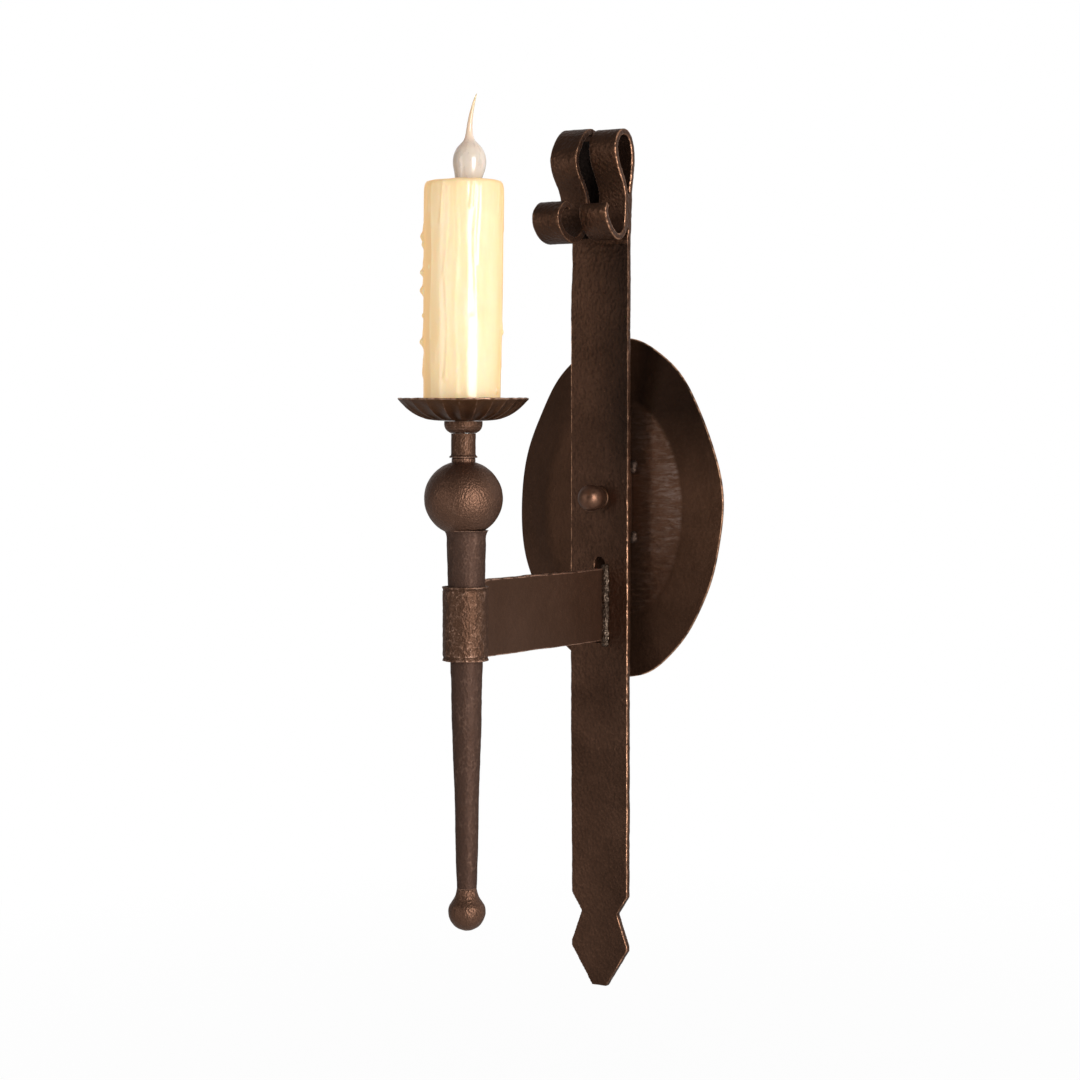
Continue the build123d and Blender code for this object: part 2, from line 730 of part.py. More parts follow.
with BuildPart() as silicone_flame:
    with BuildSketch(Plane.YZ):
        with BuildLine():
            coat_bottom, coat_top = COAT[0][1], COAT[-1][1]
            Line(torch_point(0, coat_bottom), torch_point(*COAT[0]))
            Spline(*torch_points(COAT))
            Line(torch_point(*COAT[-1]), torch_point(0, coat_top))
            Line(torch_point(0, coat_top), torch_point(0, coat_bottom))
        make_face()
    revolve(axis=TORCH_AXIS)
    for x, y, z, radius in FLAME_TIP:
        with BuildSketch(Plane((x, TORCH_Y + y, z), z_dir=(0, 0, 1))):
            Circle(radius)
    loft()
    with BuildSketch(Plane.YZ):
        with BuildLine():
            inside_bottom = COAT_INSIDE[0][1]
            Line(torch_point(0, inside_bottom), torch_point(*COAT_INSIDE[0]))
            Spline(*torch_points(COAT_INSIDE), tangents=[(0, 1), (-1, 0)])
            Line(torch_point(*COAT_INSIDE[-1]), torch_point(0, inside_bottom))
        make_face()
    revolve(axis=TORCH_AXIS, mode=Mode.SUBTRACT)
save(silicone_flame.part, "silicone_flame")

# --- candle cover: wax over a card tube --------------------------------------------

COVER_BOTTOM, COVER_LENGTH = 39.1, 102.8
COVER_TOP = COVER_BOTTOM + COVER_LENGTH
COVER_R, CORE_R, CORE_BORE_R = 17.4, 12.0, 11.1

with BuildPart() as cover_core:
    with BuildSketch(Plane.XY.offset(COVER_BOTTOM)):
        with Locations(TORCH_XY):
            Circle(CORE_R)
            Circle(CORE_BORE_R, mode=Mode.SUBTRACT)
    extrude(amount=COVER_LENGTH - 3.0)
save(cover_core.part, "cover_core_tube")

turned("candle_cover", [
    (CORE_R + GAP, COVER_BOTTOM),
    (15.8, COVER_BOTTOM),
    (16.7, COVER_BOTTOM + 1.2),
    (17.0, COVER_BOTTOM + 6.0),
    (COVER_R, COVER_BOTTOM + 50),
    (COVER_R + 0.3, COVER_TOP - 6),
    (COVER_R, COVER_TOP - 1.6),
    (COVER_R - 1.3, COVER_TOP - 0.2),
    (CORE_R + 2.0, COVER_TOP),
    (CORE_R + GAP, COVER_TOP - 1.2),
])

# --- wall crossbar -----------------------------------------------------------------

BAR_T, BAR_W, BAR_L = 1.6, 19.0, 106.0
BAR_SLOT_Z, BAR_SLOT_L, BAR_SLOT_W = 39.7, 19.0, 4.8
GROUND_Z = 22.0
GROUND_SCREW_R = 1.9

with BuildPart() as crossbar:
    with BuildSketch(Plane.XZ):
        RectangleRounded(BAR_W, BAR_L, 5.0)
        Circle(STUD_R + SLIP, mode=Mode.SUBTRACT)
        with Locations((0, BAR_SLOT_Z), (0, -BAR_SLOT_Z)):
            SlotOverall(BAR_SLOT_L, BAR_SLOT_W, rotation=90, mode=Mode.SUBTRACT)
        with Locations((0, GROUND_Z)):
            Circle(GROUND_SCREW_R + PLAY, mode=Mode.SUBTRACT)
    extrude(amount=BAR_T)
save(crossbar.part, "crossbar")

# --- hanging stud, chamfered at its room end, and its lock nut ---------------------

with BuildPart() as stud:
    with BuildSketch(Plane.XZ):
        Circle(STUD_R)
    extrude(amount=30.0)
    chamfer(stud.faces().sort_by(Axis.Y)[0].edges(), 0.4)
save(stud.part, "hanging_stud")

with BuildPart() as lock_nut:
    with BuildSketch(Plane.XZ.offset(BAR_T + GAP)):
        RegularPolygon(4.3, 6, major_radius=False)
        Circle(STUD_R + SLIP, mode=Mode.SUBTRACT)
    extrude(amount=2.6)
    chamfer(lock_nut.faces().sort_by(Axis.Y)[0].outer_wire().edges(), 0.35)
save(lock_nut.part, "stud_lock_nut")

# --- ground screw: shank, hexagonal head, driver slot ------------------------------

with BuildPart() as ground_screw:
    with BuildSketch(Plane.XZ):
        with Locations((0, GROUND_Z)):
            Circle(GROUND_SCREW_R)
    extrude(amount=2.9)
    with BuildSketch(Plane.XZ.offset(2.75)):
        with Locations((0, GROUND_Z)):
            RegularPolygon(3.6, 6, major_radius=False)
    extrude(amount=1.8)
    with BuildSketch(Plane.XZ.offset(4.0)):
        with Locations((0, GROUND_Z)):
            Rectangle(6.0, 0.9)
    extrude(amount=2.0, mode=Mode.SUBTRACT)
save(ground_screw.part, "ground_screw")

# --- bare ground lead hooked round the screw, its tail running up the bar ----------

GROUND_WIRE_R = 0.5
GROUND_WIRE_Y = -2.17
HOOK_R = 2.7

with BuildPart() as ground_wire:
    # drawn flat round the screw's axis, then stood up against the bar
    with BuildLine() as ground_path:
        hook = CenterArc((0, 0, 0), HOOK_R, 120, 270)
        straight = Line(hook @ 1, hook @ 1 + (hook % 1) * 6)
        Line(straight @ 1, straight @ 1 + Vector(-1.5, 14, 0))
    with BuildSketch(Plane(ground_path.line @ 0, z_dir=ground_path.line % 0)):
        Circle(GROUND_WIRE_R)
    sweep(path=ground_path.line, transition=Transition.ROUND)
ground_plane = Plane(origin=(0, GROUND_WIRE_Y, GROUND_Z), x_dir=(1, 0, 0), z_dir=(0, -1, 0))
save(ground_wire.part.moved(Location(ground_plane)), "ground_wire")

# --- washer and ball knob in front of the strap ------------------------------------

WASHER_R, WASHER_T = 5.7, 0.9
KNOB_R, KNOB_Y = 6.4, -27.6
KNOB_BASE_R = 5.6

with BuildPart() as knob_washer:
    with BuildSketch(Plane.XZ.offset(-STRAP_FRONT + GAP)):
        Circle(WASHER_R)
        Circle(STUD_R + 0.25, mode=Mode.SUBTRACT)
    extrude(amount=WASHER_T)
save(knob_washer.part, "knob_washer")

with BuildPart() as ball_knob:
    with Locations((0, KNOB_Y, 0)):
        Sphere(KNOB_R)
    with BuildSketch(Plane.XZ.offset(-STRAP_FRONT + GAP + WASHER_T + 0.05)):
        Circle(KNOB_BASE_R)
    extrude(amount=5.0)
    # blind bore for the stud
    with BuildSketch(Plane.XZ.offset(-STRAP_FRONT)):
        Circle(STUD_R + PLAY)
    extrude(amount=10.6, mode=Mode.SUBTRACT)
save(ball_knob.part, "ball_knob")

# --- grommet in the pan's wire hole ------------------------------------------------

GROMMET_BORE_R, LIP_R, LIP_Y = 3.2, 6.4, 1.1
GROOVE_R = GROMMET_HOLE_R - PLAY
# (radius, y from the sheet's wall-side face)
GROMMET_PROFILE = [
    (GROMMET_BORE_R, LIP_Y), (LIP_R, LIP_Y), (LIP_R, SLIP), (GROOVE_R, SLIP),
    (GROOVE_R, -SHEET - SLIP), (LIP_R, -SHEET - SLIP),
    (LIP_R, -SHEET - LIP_Y), (GROMMET_BORE_R, -SHEET - LIP_Y),
]

with BuildPart() as grommet:
    with BuildSketch(Plane.XY):
        with BuildLine():
            Polyline(*GROMMET_PROFILE, close=True)
        make_face()
    revolve(axis=Axis.Y)
save(grommet.part.moved(Location((0, PAN_FRONT + SHEET, WIRE_HOLE_Z))), "wire_grommet")

# --- two wires: from behind the pan, along the arm and up to the socket ------------

WIRE_R = 0.7
WIRE_DZ = 1.6   # from the wire hole's centre height, inside the arm
WIRE_DY = 1.25  # from the torch's axis, inside the nipple
TAIL_X, TAIL_Y = 14.0, -3.4

# name, side, height of the bend behind the grommet above the run through the arm
for name, side, bend_rise in (("wire_hot", 1, 2.0), ("wire_neutral", -1, 0.6)):
    run_z = WIRE_HOLE_Z + side * WIRE_DZ
    with BuildPart() as wire:
        with BuildLine() as wire_path:
            Polyline(
                (side * TAIL_X, TAIL_Y, -14.0),
                (side * TAIL_X, TAIL_Y, -36.0),
                (side * 2.0, -4.0, run_z + bend_rise),
                (0, -5.2, run_z),
                (0, STRAP_BACK + 1.0, run_z),
                (0, TORCH_Y + 3.2, run_z),
                (0, TORCH_Y + side * WIRE_DY, run_z + 4.0),
                (0, TORCH_Y + side * WIRE_DY, 44.0),
                (0, TORCH_Y + side * 5.125, 52.0),
                (0, TORCH_Y + side * LEAD_Y, 109.6),
            )
        with BuildSketch(Plane(wire_path.line @ 0, z_dir=wire_path.line % 0)):
            Circle(WIRE_R)
        sweep(path=wire_path.line, transition=Transition.RIGHT)
    save(wire.part, name)
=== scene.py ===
import math
from itertools import product

import bmesh
import bpy
import numpy as np
from mathutils import Matrix, Vector


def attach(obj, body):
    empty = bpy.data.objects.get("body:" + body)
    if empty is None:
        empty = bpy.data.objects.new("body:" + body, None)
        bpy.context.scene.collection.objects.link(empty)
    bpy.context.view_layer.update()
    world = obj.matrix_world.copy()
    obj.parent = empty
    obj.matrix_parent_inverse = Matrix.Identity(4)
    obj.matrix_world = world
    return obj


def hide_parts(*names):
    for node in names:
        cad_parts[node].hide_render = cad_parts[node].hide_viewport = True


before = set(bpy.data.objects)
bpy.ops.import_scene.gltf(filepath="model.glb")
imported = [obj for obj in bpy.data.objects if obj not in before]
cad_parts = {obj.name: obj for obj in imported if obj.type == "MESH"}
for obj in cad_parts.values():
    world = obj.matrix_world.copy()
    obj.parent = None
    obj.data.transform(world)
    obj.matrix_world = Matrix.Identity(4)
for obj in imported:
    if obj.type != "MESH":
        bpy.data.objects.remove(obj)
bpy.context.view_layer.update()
PI = math.pi

# ---------------------------------------------------------------- shared dimensions (mm)
STRAP_W, STRAP_T, STRAP_FRONT = 31.75, 3.2, -20.0
STRAP_HALF = STRAP_W / 2
STRAP_BACK = STRAP_FRONT + STRAP_T
SPLIT_Z, KERF, SCROLL_T = 125.0, 2.0, 3.0  # above SPLIT_Z the strap is two scrolls
OVAL_RX, OVAL_RZ, OVAL_Z = 57.15, 82.55, -5.65
PAN_FRONT = -7.7
PLATEAU = 0.662  # raised middle of the pan, as a share of its radius
TORCH_Y = -133.6
ARM_TOP, ARM_BOTTOM, ARM_HALF, COLLAR_R = -34.5, -69.5, 2.5, 10.2
CORE_R = 4.35  # bore through the ball, ferrule and cup
SHAFT_FOOT_R, SHAFT_FOOT_Z = 4.5, -171.2
FOOT_SHIFT, HEAD_SHIFT = 0.8, -0.45  # torch pieces stand off line, along VIEW_RIGHT
WAX_BOTTOM, WAX_TOP, WAX_R = 39.1, 141.9, 17.4

AZIMUTH = math.radians(33.0)  # camera's turn about z
VIEW_RIGHT = np.array([round(math.cos(AZIMUTH), 4), round(math.sin(AZIMUTH), 4), 0.0])


def shaft_radius(z):
    return SHAFT_FOOT_R + 4.5 * (z - SHAFT_FOOT_Z) / 159.9


# ---------------------------------------------------------------- numbers and noise
def unit(values):
    """Clips to 0..1."""
    return np.clip(values, 0, 1)


def bell(values):
    return np.exp(-values ** 2)


def columns(*parts):
    return np.stack(parts, 1)


def turn(count):
    """Angles of count even steps round a full circle."""
    return np.linspace(0, 2 * PI, count, endpoint=False)


def arc(radius, angles, centre=(0, 0), rise=None):
    """Points on a circle, or on an ellipse whose second radius is rise."""
    rise = radius if rise is None else rise
    return [(centre[0] + radius * math.cos(t), centre[1] + rise * math.sin(t)) for t in angles]


def lattice_hash(ix, iy, iz, seed):
    """A repeatable number from 0 to 1 for each lattice point."""
    mixed = ix * 374761393 + iy * 668265263 + iz * 1440662683 + seed * 1274126177
    mixed = mixed & 0xFFFFFFFF
    mixed = ((mixed ^ (mixed >> 13)) * 1274126177) & 0xFFFFFFFF
    mixed = ((mixed ^ (mixed >> 15)) * 2246822519) & 0xFFFFFFFF
    return ((mixed ^ (mixed >> 16)) & 0xFFFFFF) / float(0xFFFFFF)


def value_noise(points, size, seed):
    """Smooth noise, -1..1, with features about size mm."""
    scaled = np.asarray(points, float) / size
    cell = np.floor(scaled).astype(np.int64)
    part = scaled - cell
    ease = part * part * part * (part * (part * 6 - 15) + 10)
    total = 0.0
    for corner in product((0, 1), repeat=3):
        weight = np.where(corner, ease, 1 - ease).prod(axis=1)
        total = total + weight * lattice_hash(*(cell + corner).T, seed)
    return total * 2 - 1


def fbm(points, size, seed, octaves=3):
    """Value noise summed over octaves, each half the size and weight of the last."""
    weight, total, weights = 1.0, 0.0, 0.0
    for k in range(octaves):
        total = total + weight * value_noise(points, size / 2 ** k, seed + 17 * k)
        weights += weight
        weight *= 0.5
    return total / weights


def bowls(points, cell, depth, seed, cover):
    """Hammer blows: lower envelope of shallow bowls round jittered centres; 0 or below, mm."""
    scaled = np.asarray(points, float) / cell
    base = np.floor(scaled).astype(np.int64)
    low = np.zeros(len(scaled))
    for step in product((-1, 0, 1), repeat=3):
        corner = base + step
        jitter = [lattice_hash(*corner.T, seed + k) for k in (1, 2, 3)]
        force = lattice_hash(*corner.T, seed + 4)
        gap2 = ((scaled - (corner + columns(*jitter))) ** 2).sum(1)
        reach2 = (cover * (0.55 + 0.45 * force)) ** 2
        low = np.minimum(low, (gap2 - reach2) / cover ** 2 * (0.5 + 0.5 * force))
    return low * depth


def dents(across, up, cell, depth, seed, cover, sharp=1.0, girth=0.0):
    """Hammer blows on an unrolled surface. Each point lies in its nearest blow's bowl, so
    ridges run between them. With a girth the pattern closes on itself round the piece."""
    wide, tall = cell
    per_turn = max(1, int(round(girth / wide))) if girth else 0
    pitch = girth / per_turn if per_turn else wide
    scaled = columns(across / pitch, up / tall)
    base = np.floor(scaled).astype(np.int64)
    low = np.full(len(scaled), 9.0)
    for step in product((-1, 0, 1), repeat=2):
        corner = base + step
        column = corner[:, 0] % per_turn if per_turn else corner[:, 0]
        shift_x, shift_y, force = (
            lattice_hash(column, corner[:, 1], 0, seed + k) for k in (1, 2, 3))
        centre = corner + 0.5 + 0.42 * (columns(shift_x, shift_y) * 2 - 1)
        low = np.minimum(low, ((scaled - centre) ** 2).sum(1) - 0.35 * force)
    low = unit((low + 0.35) / (cover + 0.35))
    return -depth * (1 - low ** sharp)


# ---------------------------------------------------------------- mesh helpers
# get_points returns a fresh array, and "x, y, z = points.T" gives views into it, so adding to
# x, y or z in place moves the points.
def link_new(name, data):
    ob = bpy.data.objects.new(name, data)
    bpy.context.scene.collection.objects.link(ob)
    return ob


def shade_smooth(mesh):
    mesh.polygons.foreach_set("use_smooth", [True] * len(mesh.polygons))


def new_object(name, points, faces):
    mesh = bpy.data.meshes.new(name)
    mesh.from_pydata([tuple(p) for p in (np.asarray(points, float) * 0.001).tolist()], [], faces)
    mesh.validate()
    ob = link_new(name, mesh)
    shade_smooth(mesh)
    return ob


def vertex_vectors(ob, field):
    values = np.empty(len(ob.data.vertices) * 3)
    ob.data.vertices.foreach_get(field, values)
    return values.reshape(-1, 3)


def get_points(ob):
    return vertex_vectors(ob, "co") * 1000.0


def get_normals(ob):
    return vertex_vectors(ob, "normal")


def set_points(ob, points):
    ob.data.vertices.foreach_set("co", (np.asarray(points) * 0.001).ravel())
    ob.data.update()


def put_attribute(ob, name, values):
    layers = ob.data.attributes
    layer = layers.get(name) or layers.new(name, "FLOAT", "POINT")
    layer.data.foreach_set("value", np.asarray(values, dtype=np.float32))


def face_outward(ob):
    bm = bmesh.new()
    bm.from_mesh(ob.data)
    bmesh.ops.recalc_face_normals(bm, faces=bm.faces)
    bm.to_mesh(ob.data)
    bm.free()
    ob.data.update()
    return ob


def apply_modifiers(ob):
    depsgraph = bpy.context.evaluated_depsgraph_get()
    depsgraph.update()
    mesh = bpy.data.meshes.new_from_object(ob.evaluated_get(depsgraph))
    old = ob.data
    ob.modifiers.clear()
    ob.data = mesh
    bpy.data.meshes.remove(old)
    mesh.name = ob.name
    shade_smooth(mesh)


def remesh(ob, voxel, smooth_passes=3):
    """Rebuilds the piece as one even skin, voxel mm fine, and softens it."""
    voxels = ob.modifiers.new("v", "REMESH")
    voxels.mode = "VOXEL"
    voxels.voxel_size = voxel * 0.001
    voxels.use_smooth_shade = True
    smooth = ob.modifiers.new("s", "SMOOTH")
    smooth.iterations = smooth_passes
    smooth.factor = 0.5
    apply_modifiers(ob)


def cut(ob, cutters):
    for cutter in cutters:
        boolean = ob.modifiers.new("b", "BOOLEAN")
        boolean.operation = "DIFFERENCE"
        boolean.solver = "EXACT"
        boolean.object = cutter
        apply_modifiers(ob)
    for cutter in cutters:
        bpy.data.objects.remove(cutter)


def grid_faces(rows, cols, close_rows=False, close_cols=False, start=0, flip=False):
    faces = []
    for i in range(rows if close_rows else rows - 1):
        for j in range(cols if close_cols else cols - 1):
            row, next_row = start + i * cols, start + (i + 1) % rows * cols
            next_j = (j + 1) % cols
            quad = (row + j, next_row + j, next_row + next_j, row + next_j)
            faces.append((quad[0], quad[3], quad[2], quad[1]) if flip else quad)
    return faces


def resample(points, step, closed):
    """Splits each side of a polyline evenly, into pieces no longer than step."""
    points = np.asarray(points, float)
    if closed:
        points = np.vstack([points, points[:1]])
    dense = []
    for start, end in zip(points[:-1], points[1:]):
        count = max(1, int(math.ceil(np.linalg.norm(end - start) / step)))
        for k in range(count):
            dense.append(start + (end - start) * k / count)
    if not closed:
        dense.append(points[-1])
    return np.array(dense)


def catmull(points, step):
    """Catmull-Rom curve through the points."""
    points = np.asarray(points, float)
    points = np.vstack([2 * points[0] - points[1], points, 2 * points[-1] - points[-2]])
    curve = []
    for before, start, end, after in zip(points, points[1:], points[2:], points[3:]):
        count = max(2, int(np.linalg.norm(end - start) / step))
        for k in range(count):
            t = k / count
            curve.append(0.5 * (2 * start + (end - before) * t
                                + (2 * before - 5 * start + 4 * end - after) * t * t
                                + (3 * start - before - 3 * end + after) * t ** 3))
    curve.append(points[-2])
    return np.array(curve)


def lathe(name, profile, sides, step, closed=True, along_y=False):
    """Solid of revolution about the torch axis, or about y. profile holds (radius, height).
    closed: a ring-shaped section; otherwise it runs pole to pole."""
    section = resample(profile, step, closed)
    rings = section if closed else section[1:-1]
    count = len(rings)
    radius, height = rings.T
    angle = turn(sides)[:, None]
    points = np.stack([radius * np.cos(angle), radius * np.sin(angle), height + 0 * angle], -1)
    points = points.reshape(-1, 3)
    faces = grid_faces(sides, count, close_rows=True, close_cols=closed)
    if not closed:
        points = np.vstack([points, [[0, 0, section[0, 1]], [0, 0, section[-1, 1]]]])
        first_pole, last_pole = len(points) - 2, len(points) - 1
        for i in range(sides):
            k = (i + 1) % sides
            faces.append((first_pole, k * count, i * count))
            faces.append((last_pole, i * count + count - 1, k * count + count - 1))
    if along_y:
        points = points[:, [0, 2, 1]]
    else:
        points = points + np.array([0.0, TORCH_Y, 0.0])
    return face_outward(new_object(name, points, faces))


def prism(name, loops, low, high, plane):
    """Flat outline with holes, pushed from low to high. Plane "xz": loops hold (x, z) and
    the thickness is in y. Plane "xy": loops hold (x, y) and the thickness is in z."""
    curve = bpy.data.curves.new(name, "CURVE")
    curve.dimensions = "2D"
    curve.fill_mode = "BOTH"
    curve.extrude = (high - low) / 2 * 0.001
    for loop in loops:
        spline = curve.splines.new("POLY")
        spline.points.add(len(loop) - 1)
        for point, (x, y) in zip(spline.points, loop):
            point.co = (x * 0.001, y * 0.001, 0, 1)
        spline.use_cyclic_u = True
    flat = link_new(name + "_c", curve)
    depsgraph = bpy.context.evaluated_depsgraph_get()
    mesh = bpy.data.meshes.new_from_object(flat.evaluated_get(depsgraph))
    bpy.data.objects.remove(flat)
    bpy.data.curves.remove(curve)
    bm = bmesh.new()
    bm.from_mesh(mesh)
    bmesh.ops.remove_doubles(bm, verts=bm.verts, dist=1e-6)
    bm.to_mesh(mesh)
    bm.free()
    ob = link_new(name, mesh)
    points = get_points(ob)
    x, y, z = points.T
    middle = (low + high) / 2
    if plane == "xz":
        points = columns(x, z + middle, y)
    else:
        z += middle
    set_points(ob, points)
    return face_outward(ob)


def join(name, parts):
    points, faces, start = [], [], 0
    for part in parts:
        points.append(get_points(part))
        faces += [tuple(start + i for i in face.vertices) for face in part.data.polygons]
        start += len(points[-1])
        bpy.data.objects.remove(part)
    return new_object(name, np.vstack(points), faces)


# ---------------------------------------------------------------- forging
def spread(values, edges, degree, times):
    """Averages per-vertex values with those of their neighbours."""
    if values.ndim > 1:
        return columns(*(spread(column, edges, degree, times) for column in values.T))
    count = len(values)
    for _ in range(times):
        total = (np.bincount(edges[:, 0], values[edges[:, 1]], count)
                 + np.bincount(edges[:, 1], values[edges[:, 0]], count))
        values = 0.5 * values + 0.5 * total / degree
    return values


def bend(ob, rings):
    """Signed bend in mm of sag over a few rings: positive on arrises, negative in hollows."""
    points = get_points(ob)
    edges = np.empty(len(ob.data.edges) * 2, dtype=np.int64)
    ob.data.edges.foreach_get("vertices", edges)
    edges = edges.reshape(-1, 2)
    degree = np.maximum(np.bincount(edges.ravel(), minlength=len(points)), 1)
    sag = ((points - spread(points, edges, degree, rings)) * get_normals(ob)).sum(1)
    return spread(sag, edges, degree, 1)


def unroll(points, radius):
    """Arc length round the torch axis, and height along it."""
    x, y, z = points.T
    return radius * np.arctan2(x, TORCH_Y - y), z


def forge(ob, blows=None, flat=(), around=None, rings=3, edge_gain=7.0, ridge_gain=30.0,
          jitter=0.0, jitter_size=9.0):
    """Works a dense mesh and stores its arrises (edge), ridges (ridge) and pits (pit).
    blows: one set of bowls. flat: sets of dents laid on (x, z), or on (arc, height) when
    around gives a radius."""
    points = get_points(ob)
    normal = get_normals(ob)
    edge = unit(bend(ob, rings) * edge_gain)
    offset = np.zeros(len(points))
    if blows:
        offset = offset + bowls(points, **blows)
    across, up = unroll(points, around) if around else (points[:, 0], points[:, 2])
    girth = 2 * PI * around if around else 0.0
    for dent in flat:
        offset = offset + dents(across, up, girth=girth, **dent)
    if jitter:
        offset = offset + jitter * fbm(points, jitter_size, seed=5)
    set_points(ob, points + normal * offset[:, None])
    relief = bend(ob, 2) * ridge_gain
    put_attribute(ob, "worked", np.ones(len(points)))
    put_attribute(ob, "edge", edge)
    put_attribute(ob, "ridge", unit(relief) * (1 - edge))
    put_attribute(ob, "pit", unit(-relief))


def dress(ob, material, node, body="sconce"):
    """Gives a piece its material, hangs it from its body's empty and hides the CAD node it stands
    in for.
    """
    ob.data.materials.clear()
    ob.data.materials.append(material)
    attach(ob, body)
    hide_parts(node)


def nudge(ob, amount):
    """Hand-work error: a shift of amount mm to the right as seen from the camera."""
    set_points(ob, get_points(ob) + VIEW_RIGHT * amount)


def turned(name, profile, sides, step, material, node, closed=True, along_y=False,
           shift=0.0, body="sconce", **work):
    """A lathe-turned iron piece; work goes to forge."""
    ob = lathe(name, profile, sides, step, closed, along_y)
    forge(ob, **work)
    if shift:
        nudge(ob, shift)
    dress(ob, material, node, body)


# ---------------------------------------------------------------- shader helpers
class Net:
    """Adds nodes to a tree. A value may be a number, a tuple or another node's output."""

    def __init__(self, tree):
        self.tree = tree

    def feed(self, socket, value):
        if hasattr(value, "is_output"):
            self.tree.links.new(value, socket)
        elif socket.type == "RGBA":
            socket.default_value = (*value, 1)
        else:
            socket.default_value = value

    def fill(self, node, inputs):
        for key, value in inputs.items():
            self.feed(node.inputs[key], value)

    def node(self, kind, inputs={}, **settings):
        node = self.tree.nodes.new(kind)
        for key, value in settings.items():
            setattr(node, key, value)
        self.fill(node, inputs)
        return node

    def position(self):
        return self.node("ShaderNodeTexCoord").outputs["Object"]

    def scaled(self, source, scale):
        mapping = self.node("ShaderNodeMapping", {"Scale": scale, "Vector": source})
        return mapping.outputs["Vector"]

    def noise(self, scale, detail=4.0, rough=0.6, stretch=None, distortion=0.0):
        source = self.position()
        if stretch:
            source = self.scaled(source, stretch)
        return self.node("ShaderNodeTexNoise", {
            "Scale": scale, "Detail": detail, "Roughness": rough, "Distortion": distortion,
            "Vector": source}).outputs["Fac"]

    def ramp(self, source, *stops):
        """Grey ramp through (position, value) stops."""
        ramp = self.node("ShaderNodeValToRGB", {"Fac": source})
        elements = ramp.color_ramp.elements
        while len(elements) < len(stops):
            elements.new(0.5)
        for element, (position, value) in zip(elements, stops):
            element.position = position
            element.color = (value, value, value, 1)
        return ramp.outputs["Color"]

    def mix(self, factor, first, second, blend="MIX"):
        return self.node("ShaderNodeMix", {0: factor, 6: first, 7: second},
                         data_type="RGBA", blend_type=blend).outputs[2]

    def math(self, operation, *values, clamp=False):
        return self.node("ShaderNodeMath", dict(enumerate(values)),
                         operation=operation, use_clamp=clamp).outputs[0]

    def add(self, *values, **options):
        return self.math("ADD", *values, **options)

    def sub(self, *values, **options):
        return self.math("SUBTRACT", *values, **options)

    def mul(self, *values, **options):
        return self.math("MULTIPLY", *values, **options)

    def fraction(self, value, start, length):
        """0 at start, 1 at start + length."""
        return self.math("DIVIDE", self.sub(value, start), length, clamp=True)

    def attribute(self, name):
        return self.node("ShaderNodeAttribute", attribute_name=name).outputs["Fac"]

    def bump(self, height, strength, distance, normal=None):
        inputs = {"Strength": strength, "Distance": distance, "Height": height}
        if normal is not None:
            inputs["Normal"] = normal
        return self.node("ShaderNodeBump", inputs).outputs["Normal"]


def new_material(name):
    material = bpy.data.materials.new(name)
    material.use_nodes = True
    tree = material.node_tree
    return material, Net(tree), tree.nodes["Principled BSDF"]


